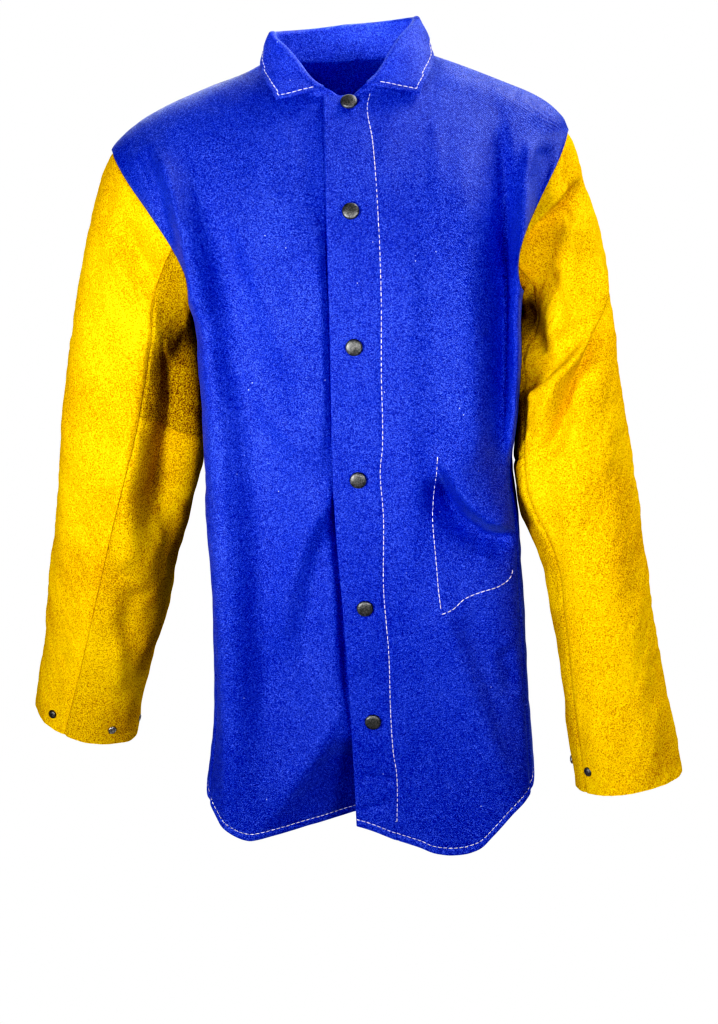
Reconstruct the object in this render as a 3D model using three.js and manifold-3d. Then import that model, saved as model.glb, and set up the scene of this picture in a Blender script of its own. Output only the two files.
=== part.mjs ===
// Welding jacket: a cotton body with split-leather sleeves, closed down the front by a row of snaps.
// Millimetres, +Z up. The wearer faces -Y, so the wearer's right side is at -X and the left at +X.
// The origin lies midway between the two points where a shoulder seam meets the collar,
// which is where the jacket sits on the wearer. The jacket keeps the form that it has when worn.
import * as THREE from 'three';
import { mergeVertices } from 'three/addons/utils/BufferGeometryUtils.js';
import Module from 'manifold-3d';

const wasm = await Module();
wasm.setup();

// Driving dimensions
const COTTON = 1.2;            // wall of one layer of body cloth
const PLACKET_CLOTH = 2.4;     // the folded front edge, two layers
const COLLAR_CLOTH = 2.2;      // two layers turned out and pressed
const LEATHER = 1.8;           // split cowhide of the sleeves
const SEAM_GAP = 0.5;          // space left between two pieces at a seam
const TIP_Z = -80;             // height of the shoulder tips
const PIT_Z = -226;            // height of the armpits
const FRONT_NECK_DROP = 37;    // front of the neckline below the shoulder-neck points
const BACK_NECK_DROP = 8;
const NECK_HALF = 67;          // half the width of the neckline
const PLACKET_EDGE = 21;       // how far the left front laps past the middle
const PLACKET_BOW = 5;         // how much further its edge stands out at its middle
const UNDERLAP_EDGE = 22;      // how far the right front runs on beneath it
const UNDERLAP_INSET = 3.6;    // depth of the right front below the placket's outer face
const UNDERLAP_BLEND = 34;     // width over which the right front comes back up to the outer face
const EDGE_BEND = 2.5;         // above 1, only a panel's outer columns lean in along the armhole
const FOLD_FADE = 36;          // width beside the placket over which the folds die out
// Power of the torso's section, 2 for an ellipse and more for a squarer one: at the back and the
// shoulders, and down the front, which comes to its own power between two heights.
const ROUND_POWER = 2.33;
const FRONT_POWER = 5;
const FLAT_FROM = -160;
const FLAT_BELOW = -280;
const SIDE_SEAM_SHIFT = 34;    // degrees by which the side seam runs forward of the side, low down
const ARMHOLE_SCOOP = { front: 17, back: 8 };   // how far the armhole's edges bow in from a straight line
const ARMHOLE_LOWNESS = 1.6;   // above 1, the armhole bows in most below its middle
const SNAPS = [
  { x: 3, z: -43.5 }, { x: 2, z: -140 }, { x: 0, z: -263 }, { x: -2, z: -389 }, { x: -1.5, z: -516 },
  { x: 0.5, z: -636 },
];

const COTTON_BLUE = new THREE.MeshStandardMaterial({ color: 0x1f2fc4, roughness: 0.85, metalness: 0 });
const LEATHER_GOLD = new THREE.MeshStandardMaterial({ color: 0xeeb404, roughness: 0.92, metalness: 0 });
const SNAP_METAL = new THREE.MeshStandardMaterial({ color: 0x3c3d3b, roughness: 0.42, metalness: 0.9 });
const STUD_METAL = new THREE.MeshStandardMaterial({ color: 0xa8a8a4, roughness: 0.3, metalness: 0.95 });

// The torso's level sections: half widths to the wearer's right and left, and where the
// middle of the front, of the sides and of the back lie.
const TORSO = [
  { z: 10, right: 52, left: 54, front: 12, side: 12, back: 42 },
  { z: 0, right: 70, left: 72, front: 2, side: 12, back: 53 },
  { z: -14, right: 98, left: 106, front: -13, side: 12, back: 68 },
  { z: -30, right: 145, left: 144, front: -31, side: 12, back: 84 },
  { z: -48, right: 188, left: 182, front: -47, side: 12, back: 96 },
  { z: -66, right: 215, left: 203, front: -61, side: 12, back: 104 },
  { z: -80, right: 228, left: 210, front: -70, side: 12, back: 109 },
  { z: -110, right: 237, left: 221, front: -87, side: 12, back: 117 },
  { z: -140, right: 234, left: 221, front: -100, side: 12, back: 123 },
  { z: -168, right: 216, left: 205, front: -109, side: 11, back: 127 },
  { z: -200, right: 179, left: 175, front: -115, side: 10, back: 130 },
  { z: -226, right: 161, left: 161, front: -117, side: 9, back: 131 },
  { z: -290, right: 156, left: 155, front: -118, side: 8, back: 131 },
  { z: -340, right: 154, left: 151, front: -114, side: 8, back: 129 },
  { z: -390, right: 153, left: 145, front: -110, side: 8, back: 128 },
  { z: -440, right: 153, left: 149, front: -106, side: 8, back: 128 },
  { z: -515, right: 153, left: 151, front: -97, side: 8, back: 128 },
  { z: -640, right: 160, left: 155, front: -72, side: 9, back: 136 },
  { z: -720, right: 172, left: 158, front: -60, side: 10, back: 142 },
  { z: -800, right: 176, left: 160, front: -54, side: 10, back: 145 },
];

// Height of the hem at each angle round from the middle of the front, for each panel.
const HEM = {
  right: [
    { angle: -20, z: -750 }, { angle: 0, z: -750 }, { angle: 14, z: -753 }, { angle: 28, z: -758 },
    { angle: 38, z: -761 }, { angle: 46, z: -747 }, { angle: 56, z: -724 }, { angle: 90, z: -704 },
  ],
  left: [
    { angle: -20, z: -742 }, { angle: -7, z: -748 }, { angle: 6, z: -764 }, { angle: 19, z: -780 },
    { angle: 27, z: -783 }, { angle: 33, z: -777 }, { angle: 43, z: -745 }, { angle: 56, z: -724 },
    { angle: 90, z: -704 },
  ],
  back: [
    { angle: 50, z: -738 }, { angle: 56, z: -724 }, { angle: 70, z: -710 }, { angle: 90, z: -704 },
    { angle: 115, z: -720 }, { angle: 145, z: -744 }, { angle: 180, z: -752 },
  ],
};

// Soft folds in the cloth, as seen from the front or the back: each runs straight from one
// point to the other and stands out by its height, or sinks in where the height is negative.
// The fronts' folds stand out straight ahead.
const FRONT_FOLDS = [
  { x0: -172, z0: -90, x1: -150, z1: -175, width: 13, height: 10 },
  { x0: -150, z0: -200, x1: -143, z1: -560, width: 15, height: 28 },
  { x0: -144, z0: -590, x1: -150, z1: -740, width: 15, height: 26 },
  { x0: -118, z0: -150, x1: -98, z1: -400, width: 28, height: -10 },
  { x0: -98, z0: -440, x1: -108, z1: -690, width: 28, height: -10 },
  { x0: 152, z0: -280, x1: 147, z1: -345, width: 9, height: 12 },
  { x0: 140, z0: -70, x1: 128, z1: -380, width: 18, height: -10 },
  { x0: 106, z0: -90, x1: 107, z1: -370, width: 20, height: 4 },
  { x0: 84, z0: -412, x1: 140, z1: -456, width: 13, height: -12 },
  { x0: 95, z0: -385, x1: 145, z1: -425, width: 18, height: 8 },
  { x0: 75, z0: -533, x1: 135, z1: -725, width: 20, height: 7 },
];
// Beside the placket's foot the right front falls back from a slanting line, by its slope for
// each millimetre past the line, and comes to this between two heights.
const TUCK = { x0: -24, z0: -630, x1: -92, z1: -720, slope: 0.62, high: -660, low: -700, round: 6 };
const BACK_FOLDS = [
  { x0: -95, z0: -170, x1: -105, z1: -770, width: 22, height: 11 },
  { x0: -48, z0: -230, x1: -52, z1: -770, width: 20, height: -9 },
  { x0: 0, z0: -300, x1: 4, z1: -770, width: 24, height: 8 },
  { x0: 50, z0: -220, x1: 56, z1: -770, width: 20, height: -9 },
  { x0: 98, z0: -170, x1: 108, z1: -770, width: 22, height: 11 },
];

// The sleeves' sections, from the armhole to the cuff. Each joins a point on the sleeve's outer
// line to one on its inner line; y is the section's middle, and front and back are its half depths.
const SLEEVES = {
  right: [
    { outX: 246, outZ: -122, inX: 158, inZ: -258, y: 14, front: 64, back: 66 },
    { outX: 263, outZ: -180, inX: 154, inZ: -296, y: 18, front: 64, back: 64 },
    { outX: 279, outZ: -242, inX: 154, inZ: -338, y: 25, front: 64, back: 62 },
    { outX: 292, outZ: -304, inX: 158, inZ: -378, y: 35, front: 64, back: 60 },
    { outX: 304, outZ: -368, inX: 170, inZ: -424, y: 48, front: 64, back: 58 },
    { outX: 316, outZ: -440, inX: 192, inZ: -484, y: 66, front: 61, back: 56 },
    { outX: 330, outZ: -512, inX: 210, inZ: -546, y: 86, front: 57, back: 54 },
    { outX: 345, outZ: -590, inX: 235, inZ: -620, y: 106, front: 53, back: 51 },
    { outX: 363, outZ: -662, inX: 258, inZ: -697, y: 124, front: 49, back: 48 },
  ],
  left: [
    { outX: 221, outZ: -122, inX: 158, inZ: -258, y: 8, front: 64, back: 66 },
    { outX: 236, outZ: -178, inX: 153, inZ: -296, y: -2, front: 66, back: 66 },
    { outX: 244, outZ: -240, inX: 147, inZ: -338, y: -18, front: 66, back: 66 },
    { outX: 249, outZ: -304, inX: 141, inZ: -378, y: -35, front: 64, back: 64 },
    { outX: 256, outZ: -368, inX: 142, inZ: -420, y: -44, front: 62, back: 62 },
    { outX: 265, outZ: -440, inX: 165, inZ: -476, y: -47, front: 59, back: 59 },
    { outX: 273, outZ: -512, inX: 179, inZ: -540, y: -49, front: 56, back: 56 },
    { outX: 283, outZ: -594, inX: 186, inZ: -616, y: -50, front: 53, back: 53 },
    { outX: 301, outZ: -702, inX: 197, inZ: -716, y: -50, front: 50, back: 50 },
  ],
};
// Angle of the front and back seams round each sleeve at the armhole and at the cuff: 0 is the
// sleeve's outer line, 90 its front, 180 its inner line and 270 its back.
const SLEEVE_SEAMS = {
  right: { frontTop: 103, frontCuff: 60, backTop: 255, backCuff: 262 },
  left: { frontTop: 128, frontCuff: 150, backTop: 262, backCuff: 285 },
};
const ELBOW_SEAM = 4.35;       // section number at which the under sleeve is pieced across
const BODY_CLEARANCE = 3.8;    // least space between a sleeve and the body below the armpit
const BODY_RIDGE = 16;         // how far the folds at the body's sides stand ahead of its form there
const SLEEVE_START = 0.035;    // section number at which the leather starts, clear of the armhole's edge
const SLEEVE_FOLDS = {
  right: [
    { x0: -206, z0: -150, x1: -190, z1: -192, width: 13, height: -7 },
    { x0: -236, z0: -215, x1: -248, z1: -330, width: 20, height: -5 },
    { x0: -190, z0: -335, x1: -205, z1: -390, width: 22, height: -6 },
    { x0: -215, z0: -410, x1: -245, z1: -560, width: 22, height: 4 },
  ],
  left: [
    { x0: 205, z0: -140, x1: 172, z1: -182, width: 11, height: -10 },
    { x0: 212, z0: -170, x1: 186, z1: -225, width: 18, height: 7 },
    { x0: 238, z0: -205, x1: 224, z1: -262, width: 11, height: -9 },
    { x0: 224, z0: -262, x1: 190, z1: -330, width: 12, height: -13 },
    { x0: 198, z0: -278, x1: 164, z1: -318, width: 14, height: 9 },
    { x0: 180, z0: -245, x1: 192, z1: -288, width: 10, height: -9 },
    { x0: 232, z0: -320, x1: 196, z1: -385, width: 24, height: 5 },
  ],
};

// The collar's cross-sections from the middle of the back to the front end, each set up on the
// neckline: the stand leans out and rises to the fold, and the fall's edge lies out from the
// neckline, above or below it, and swept back along it. The fold lies higher on the left.
const COLLAR = [
  { turn: 0, lean: -3, rise: 29, out: 22, edge: -14, sweep: 0 },
  { turn: 60, lean: -2, rise: 25, out: 18, edge: -8, sweep: 0 },
  { turn: 90, lean: -1, rise: 22, out: 14, edge: 0, sweep: 4 },
  { turn: 120, lean: -7, rise: 24, out: 18, edge: 5, sweep: 19 },
  { turn: 150, lean: -7, rise: 15, out: 21, edge: 4, sweep: 31 },
  { turn: 165, lean: -5, rise: 12, out: 23, edge: 0, sweep: 35 },
  { turn: 177, lean: -3, rise: 10, out: 22, edge: -3, sweep: 45 },
];
const COLLAR_HUG = 7;          // how much closer the right leaf lies at the side of the neck
const COLLAR_FRONT_CUT = 15;   // degrees by which the collar's fold stops short of its foot at the front
const COLLAR_TILT = 0.06;      // rise of the fold for each millimetre towards the left
const COLLAR_FOLD_R = 2.6;
const COLLAR_LIFT = 2.6;       // space between the neckline's edge and the collar's foot

const SNAP = { sides: 12, capR: 8, capH: 3.2, rim: 1.0, postR: 1.9, flangeR: 5.2, flangeH: 1.2 };
const STUD = { sides: 8, capR: 4.6, capH: 2.6, rim: 0.8, postR: 1.5, flangeR: 4.4, flangeH: 1.0 };
const SNAP_HOLE_PLAY = 0.6;    // how much wider the cloth's hole is than the post
const SNAP_LIFT = 0.9;         // space between a snap's faces and the cloth
const HOLE_SIDES = 7;
// Each cuff has a cap by the front seam and two studs, for a loose and a tight wrist. A snap sits
// on one facet of the cuff's last row, counted round from the piece's first seam.
const CUFF_SNAPS = [
  { name: 'cap', piece: 'outer', facet: 11 },
  { name: 'stud_1', piece: 'under_lower', facet: 2 },
  { name: 'stud_2', piece: 'under_lower', facet: 4 },
];

const SIGN = { right: -1, left: 1 };
const DEGREE = Math.PI / 180;
const lerp = THREE.MathUtils.lerp;
const smooth = (value, low, high) => THREE.MathUtils.smoothstep(value, low, high);

// The column of a table at a value of its key column, on cubic curves whose slopes are the
// mean of the chords on both sides of a row.
function tableAt(table, key, column, at) {
  const rows = table[0][key] < table[table.length - 1][key] ? table : [...table].reverse();
  const last = rows.length - 1;
  let i = 0;
  while (i < last - 1 && at > rows[i + 1][key]) i++;
  const chord = (k) => (rows[k + 1][column] - rows[k][column]) / (rows[k + 1][key] - rows[k][key]);
  const slope = (k) => (chord(Math.max(k - 1, 0)) + chord(Math.min(k, last - 1))) / 2;
  const span = rows[i + 1][key] - rows[i][key];
  const t = THREE.MathUtils.clamp((at - rows[i][key]) / span, 0, 1);
  const a = (1 + 2 * t) * (1 - t) ** 2;
  const b = t * (1 - t) ** 2;
  const c = t * t * (3 - 2 * t);
  const d = t * t * (t - 1);
  return a * rows[i][column] + b * span * slope(i) + c * rows[i + 1][column] + d * span * slope(i + 1);
}

// The power of the torso's section at a height, on the front or the back.
function sectionPower(face, z) {
  if (face === 'back') return ROUND_POWER;
  return lerp(FRONT_POWER, ROUND_POWER, smooth(z, FLAT_BELOW, FLAT_FROM));
}

// A point of the torso's form: the angle is 0 at the middle of the front, positive to the left.
// The section is a superellipse, on which the powers of its two shares add up to 1.
function torsoPoint(angle, z) {
  const half = tableAt(TORSO, 'z', Math.sin(angle) < 0 ? 'right' : 'left', z);
  const side = tableAt(TORSO, 'z', 'side', z);
  const face = Math.cos(angle) > 0 ? 'front' : 'back';
  const power = sectionPower(face, z);
  const bulge = (Math.abs(Math.sin(angle)) ** power + Math.abs(Math.cos(angle)) ** power) ** (-1 / power);
  const y = side + (tableAt(TORSO, 'z', face, z) - side) * Math.abs(Math.cos(angle)) * bulge;
  return new THREE.Vector3(half * Math.sin(angle) * bulge, y, z);
}

// The outward direction of a surface given by a function of two parameters.
function outward(surface, u, v, stepU, stepV) {
  const alongU = surface(u + stepU, v).sub(surface(u - stepU, v));
  const alongV = surface(u, v + stepV).sub(surface(u, v - stepV));
  return alongU.cross(alongV).normalize();
}

const torsoOutward = (angle, z) => outward(torsoPoint, angle, z, 0.01, 1);

// The angle at which the torso's front or back has the given x.
function angleAtX(x, z, face) {
  let low = 0;
  let high = 90 * DEGREE;
  for (let i = 0; i < 40; i++) {
    const middle = (low + high) / 2;
    if (Math.abs(torsoPoint(middle * (x < 0 ? -1 : 1), z).x) < Math.abs(x)) low = middle;
    else high = middle;
  }
  const angle = face === 'front' ? low : Math.PI - low;
  return x < 0 ? -angle : angle;
}

function foldHeight(folds, x, z) {
  let height = 0;
  for (const fold of folds) {
    const [dx, dz] = [fold.x1 - fold.x0, fold.z1 - fold.z0];
    const walked = ((x - fold.x0) * dx + (z - fold.z0) * dz) / (dx * dx + dz * dz);
    const t = THREE.MathUtils.clamp(walked, 0, 1);
    const away = Math.hypot(x - fold.x0 - t * dx, z - fold.z0 - t * dz);
    height += fold.height * Math.exp(-((away / fold.width) ** 2));
  }
  return height;
}

// How far down the armhole a height is: 0 at the shoulder tip, 1 at the armpit.
const armholeShare = (z) => THREE.MathUtils.clamp((TIP_Z - z) / (TIP_Z - PIT_Z), 0, 1);

function armholeX(side, share, face) {
  const tip = tableAt(TORSO, 'z', side, TIP_Z);
  const pit = tableAt(TORSO, 'z', side, PIT_Z);
  const low = share ** ARMHOLE_LOWNESS;
  return SIGN[side] * (lerp(tip, pit, share) - ARMHOLE_SCOOP[face] * 4 * low * (1 - low));
}

// Where a panel's row ends at the side: on the side seam, the armhole or the shoulder seam.
function sideAngle(side, z, face) {
  if (z < TIP_Z && z > PIT_Z) return angleAtX(armholeX(side, armholeShare(z), face), z, face);
  const forward = SIDE_SEAM_SHIFT * DEGREE * (1 - smooth(z, PIT_Z - 200, PIT_Z));
  const depth = Math.abs(tableAt(TORSO, 'z', face, z) - tableAt(TORSO, 'z', 'side', z));
  const gap = SEAM_GAP / 2 / Math.max(depth, 8);
  return SIGN[side] * (90 * DEGREE - forward + (face === 'front' ? -gap : gap));
}

// Half the neckline's width at a height, on the front or the back.
function neckX(z, face) {
  const drop = face === 'front' ? FRONT_NECK_DROP : BACK_NECK_DROP;
  return NECK_HALF * Math.sqrt(Math.max(0, 1 - (z / drop) ** 2));
}

// Heights of a panel's rows from the hem up. A row at or under the armpit is given as a share
// of the way up from the hem, which isn't level.
function rowHeights(neckDrop, neckSteps) {
  const counted = (count) => Array.from({ length: count }, (_, i) => (i + 1) / count);
  const steps = (from, to, count) => counted(count).map((share) => lerp(from, to, share));
  const skirt = Array.from({ length: 13 }, (_, i) => ({ share: i / 12 }));
  const armhole = counted(7).map((share) => lerp(PIT_Z, TIP_Z, (1 - Math.cos(Math.PI * share)) / 2));
  const rest = [...armhole, ...steps(TIP_Z, -neckDrop, neckDrop > 20 ? 3 : 6)];
  const neck = neckSteps.map((share) => -neckDrop * share);
  return [...skirt, ...[...rest, ...neck].map((z) => ({ z }))];
}

// A closed wall from a sheet of points: the faces are seen anticlockwise from outside, and each
// point's inner partner lies its own thickness in along its outward direction.
function wall(points, outwards, thicknesses, faces) {
  const count = points.length;
  const inner = points.map((p, i) => p.clone().addScaledVector(outwards[i], -thicknesses[i]));
  const position = [...points, ...inner].flatMap((p) => p.toArray());
  const index = [];
  const edges = new Map();
  for (const face of faces) {
    const [a, b, c, d] = face;
    index.push(a, b, c, a, c, d);
    index.push(a + count, c + count, b + count, a + count, d + count, c + count);
    face.forEach((from, k) => edges.set(`${from},${face[(k + 1) % 4]}`, [from, face[(k + 1) % 4]]));
  }
  for (const [from, to] of edges.values()) {
    if (edges.has(`${to},${from}`)) continue;
    index.push(to, from, from + count, to, from + count, to + count);
  }
  const geometry = new THREE.BufferGeometry();
  geometry.setAttribute('position', new THREE.Float32BufferAttribute(position, 3));
  geometry.setIndex(index);
  return geometry;
}

function gridFaces(rows, columns) {
  const faces = [];
  for (let i = 0; i < rows - 1; i++) {
    for (let j = 0; j < columns - 1; j++) {
      const corner = i * columns + j;
      faces.push([corner, corner + 1, corner + 1 + columns, corner + columns]);
    }
  }
  return faces;
}

// Body panels

// How far the right front falls back beside the placket's foot.
function tuckDepth(x, z) {
  const [dx, dz] = [TUCK.x1 - TUCK.x0, TUCK.z1 - TUCK.z0];
  const beside = Math.min(x, -PLACKET_EDGE) - TUCK.x0;
  const away = ((z - TUCK.z0) * dx - beside * dz) / Math.hypot(dx, dz);
  const depth = TUCK.slope * (away + Math.hypot(away, TUCK.round)) / 2;
  return depth * (1 - smooth(z, TUCK.low, TUCK.high));
}

// How far past the middle a front's edge lies at a height.
function lapAt(side, z) {
  return side === 'left' ? PLACKET_EDGE + PLACKET_BOW * Math.exp(-(((z + 400) / 120) ** 2)) : UNDERLAP_EDGE;
}

function frontPanel(side) {
  const columns = 10;
  const rows = rowHeights(FRONT_NECK_DROP, [0.96, 0.89, 0.76, 0.54, 0.27, 0]);
  const free = PLACKET_EDGE + PLACKET_BOW;
  const sheet = [];
  for (const row of rows) {
    const level = row.z ?? lerp(-750, PIT_Z, row.share);
    const neck = level > -FRONT_NECK_DROP;
    const start = SIGN[side] * (neck ? neckX(level, 'front') : -lapAt(side, level));
    const from = angleAtX(start, level, 'front');
    const to = sideAngle(side, level, 'front');
    const plain = level < TIP_Z && level > PIT_Z ? SIGN[side] * 90 * DEGREE : to;
    for (let j = 0; j < columns; j++) {
      const s = j / (columns - 1);
      const angle = lerp(from, plain, s) + (to - plain) * s ** EDGE_BEND;
      const hem = tableAt(HEM[side], 'angle', 'z', SIGN[side] * angle / DEGREE);
      const z = row.z ?? lerp(hem, PIT_Z, row.share);
      const point = torsoPoint(angle, z);
      const direction = torsoOutward(angle, z);
      const across = SIGN[side] * point.x;
      const fade = smooth(1 - s, 0, 0.11) * smooth(across, free, free + FOLD_FADE);
      let thickness = COTTON;
      point.y -= foldHeight(FRONT_FOLDS, point.x, z) * fade;
      if (side === 'left') {
        thickness = lerp(PLACKET_CLOTH, COTTON, smooth(across, PLACKET_EDGE, PLACKET_EDGE + 8));
      } else {
        point.y += tuckDepth(point.x, z);
        point.addScaledVector(direction, -UNDERLAP_INSET * (1 - smooth(across, free, free + UNDERLAP_BLEND)));
      }
      sheet.push({ point, direction, thickness });
    }
  }
  const faces = gridFaces(rows.length, columns);
  if (side === 'right') faces.forEach((face) => face.reverse());
  return sheetWall(sheet, faces);
}

function sheetWall(sheet, faces) {
  return wall(sheet.map((s) => s.point), sheet.map((s) => s.direction), sheet.map((s) => s.thickness), faces);
}

// The back is one panel. Over the neckline's lowest row its two halves run up on both sides.
function backPanel() {
  const half = 8;
  const columns = 2 * half + 1;
  const rows = rowHeights(BACK_NECK_DROP, [0.72, 0.4, 0]);
  const sheet = [];
  for (const row of rows) {
    const level = row.z ?? lerp(-750, PIT_Z, row.share);
    const split = level > -BACK_NECK_DROP;
    for (const side of ['left', 'right']) {
      const neck = angleAtX(SIGN[side] * neckX(level, 'back'), level, 'back');
      const start = split ? neck : SIGN[side] * Math.PI;
      const end = sideAngle(side, level, 'back');
      const plain = level < TIP_Z && level > PIT_Z ? SIGN[side] * 90 * DEGREE : end;
      const order = [...Array(half + 1).keys()];
      if (side === 'left') order.reverse();
      for (const k of order) {
        if (side === 'right' && k === 0 && !split) continue;
        const angle = lerp(start, plain, k / half) + (end - plain) * (k / half) ** EDGE_BEND;
        const hem = tableAt(HEM.back, 'angle', 'z', Math.abs(angle) / DEGREE);
        const z = row.z ?? lerp(hem, PIT_Z, row.share);
        const point = torsoPoint(angle, z);
        const direction = torsoOutward(angle, z);
        point.addScaledVector(direction, foldHeight(BACK_FOLDS, point.x, z) * smooth(half - k, 0, 1.5));
        sheet.push({ point, direction, thickness: COTTON });
      }
    }
  }
  const whole = rows.findIndex((row) => row.z > -BACK_NECK_DROP);
  const faces = gridFaces(whole, columns);
  const under = (whole - 1) * columns;
  const upper = whole * columns;
  for (let i = whole; i < rows.length; i++) {
    const width = columns + 1;
    const above = upper + (i - whole) * width;
    for (let j = 0; j < columns; j++) {
      if (j === half) continue;
      const low = i === whole ? under + (j < half ? j : j - 1) : above - width + j;
      faces.push([low, low + 1, above + j + 1, above + j]);
    }
  }
  return sheetWall(sheet, faces);
}

// Collar

// A point on the neckline: turn is 0 at the middle of the back and 180 at the middle of the front.
function neckPoint(turn, side) {
  const face = turn < 90 ? 'back' : 'front';
  const drop = face === 'front' ? FRONT_NECK_DROP : BACK_NECK_DROP;
  const z = -drop * Math.abs(Math.cos(turn * DEGREE));
  const x = SIGN[side] * NECK_HALF * Math.sin(turn * DEGREE);
  return torsoPoint(angleAtX(x, z, face), z);
}

// The collar's middle surface: v runs from the foot of the stand over the fold to the fall's edge.
function collarPoint(signedTurn, v) {
  const side = signedTurn < 0 ? 'right' : 'left';
  const [standEnd, foldEnd] = [0.36, 0.56];
  const given = Math.abs(signedTurn);
  const column = (name) => tableAt(COLLAR, 'turn', name, given);
  const turn = given - COLLAR_FRONT_CUT * smooth(given, 130, 177) * Math.min(v / standEnd, 1);
  const foot = neckPoint(turn, side);
  const out = new THREE.Vector3(SIGN[side] * Math.sin(turn * DEGREE), Math.cos(turn * DEGREE), 0);
  const back = new THREE.Vector3(-SIGN[side] * Math.cos(turn * DEGREE), Math.sin(turn * DEGREE), 0);
  const rise = column('rise') + COLLAR_TILT * foot.x;
  const at = (o, k, swept) => foot.clone().addScaledVector(out, o).addScaledVector(back, swept)
    .add(new THREE.Vector3(0, 0, k + COLLAR_LIFT));
  if (v <= standEnd) return at(column('lean') * v / standEnd, rise * v / standEnd, 0);
  if (v <= foldEnd) {
    const arc = Math.PI * (v - standEnd) / (foldEnd - standEnd);
    return at(column('lean') + COLLAR_FOLD_R * (1 - Math.cos(arc)), rise + COLLAR_FOLD_R * Math.sin(arc), 0);
  }
  const t = (v - foldEnd) / (1 - foldEnd);
  const roll = 1.5 * Math.sin(Math.PI * t);
  const from = column('lean') + 2 * COLLAR_FOLD_R;
  const hug = side === 'right' ? COLLAR_HUG * Math.sin(given * DEGREE) ** 4 : 0;
  return at(lerp(from, column('out') - hug, t) + roll, lerp(rise, column('edge'), t), column('sweep') * t);
}

function collar() {
  const [backSteps, frontSteps] = [7, 9];
  const turns = 2 * (backSteps + frontSteps) + 1;
  const reach = COLLAR[COLLAR.length - 1].turn;
  const turnAt = (k) => (k <= backSteps ? 90 * k / backSteps : lerp(90, reach, (k - backSteps) / frontSteps));
  const steps = [0, 0.18, 0.36, 0.43, 0.49, 0.56, 0.7, 0.85, 1];
  const sheet = [];
  for (let i = 0; i < turns; i++) {
    const k = i - backSteps - frontSteps;
    const turn = Math.sign(k) * turnAt(Math.abs(k));
    for (const v of steps) {
      const direction = outward(collarPoint, turn, v, 0.5, 0.01);
      const point = collarPoint(turn, v).addScaledVector(direction, COLLAR_CLOTH / 2);
      sheet.push({ point, direction, thickness: COLLAR_CLOTH });
    }
  }
  const faces = gridFaces(turns, steps.length);
  faces.forEach((face) => face.reverse());
  return sheetWall(sheet, faces);
}

// Sleeves

// The armhole's edge at an angle round the sleeve, a seam's gap outside the body.
function armholePoint(side, angle) {
  const face = Math.sin(angle) >= 0 ? 'front' : 'back';
  const share = (1 - Math.cos(angle)) / 2;
  const z = lerp(TIP_Z, PIT_Z, share);
  const point = torsoPoint(angleAtX(armholeX(side, share, face), z, face), z);
  point.x += SIGN[side] * (SEAM_GAP + 2.6 * share * share);
  return point;
}

function sectionPoint(side, row, angle) {
  const section = SLEEVES[side][row];
  const before = SLEEVES[side][Math.max(row - 1, 0)];
  const after = SLEEVES[side][Math.min(row + 1, SLEEVES[side].length - 1)];
  const lean = (after.y - before.y) / (after.outZ - before.outZ);
  const depth = Math.sin(angle) >= 0 ? section.front : section.back;
  const out = (1 + Math.cos(angle)) / 2;
  const forward = -depth * Math.sin(angle);
  return new THREE.Vector3(
    SIGN[side] * lerp(section.inX, section.outX, out),
    section.y + forward,
    lerp(section.inZ, section.outZ, out) - forward * lean,
  );
}

// The point, moved sideways where it would lie against the body or in it below the armpit.
function clearOfBody(side, point) {
  const middle = tableAt(TORSO, 'z', 'side', point.z);
  const face = point.y < middle ? 'front' : 'back';
  const ridge = face === 'front' ? BODY_RIDGE : 0;
  const depth = Math.abs(tableAt(TORSO, 'z', face, point.z) - middle);
  const round = THREE.MathUtils.clamp((Math.abs(point.y - middle) - ridge) / depth, 0, 1);
  const power = sectionPower(face, point.z);
  const half = tableAt(TORSO, 'z', side, point.z);
  const reach = half * (1 - round ** power) ** (1 / power) + BODY_CLEARANCE;
  const x = SIGN[side] * point.x;
  const outside = (x + reach + Math.hypot(x - reach, 2)) / 2;
  point.x = SIGN[side] * lerp(outside, x, smooth(point.z, PIT_Z - 30, PIT_Z + 5));
  return point;
}

// A point of a sleeve's form: section 0 is the armhole and each row of the table is one more.
function sleevePoint(side, angle, section) {
  const last = SLEEVES[side].length;
  const ring = (k) => (k <= 0 ? armholePoint(side, angle) : sectionPoint(side, Math.min(k, last) - 1, angle));
  const k = Math.min(Math.floor(section), last - 1);
  const [p, q, r, s] = [ring(k - 1), ring(k), ring(k + 1), ring(k + 2)];
  const t = section - k;
  const curve = new THREE.Vector3();
  for (const axis of ['x', 'y', 'z']) {
    const startSlope = (k === 0 ? r[axis] - q[axis] : (r[axis] - p[axis]) / 2);
    const endSlope = (k === last - 1 ? r[axis] - q[axis] : (s[axis] - q[axis]) / 2);
    curve[axis] = (1 + 2 * t) * (1 - t) ** 2 * q[axis] + t * (1 - t) ** 2 * startSlope
      + t * t * (3 - 2 * t) * r[axis] + t * t * (t - 1) * endSlope;
  }
  return clearOfBody(side, curve);
}

function sleeveOutward(side, angle, section) {
  const near = THREE.MathUtils.clamp(section, 0.02, SLEEVES[side].length - 0.02);
  const direction = outward((a, t) => sleevePoint(side, a, t), angle, near, 0.02, 0.02);
  return direction.multiplyScalar(SIGN[side]);
}

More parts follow.
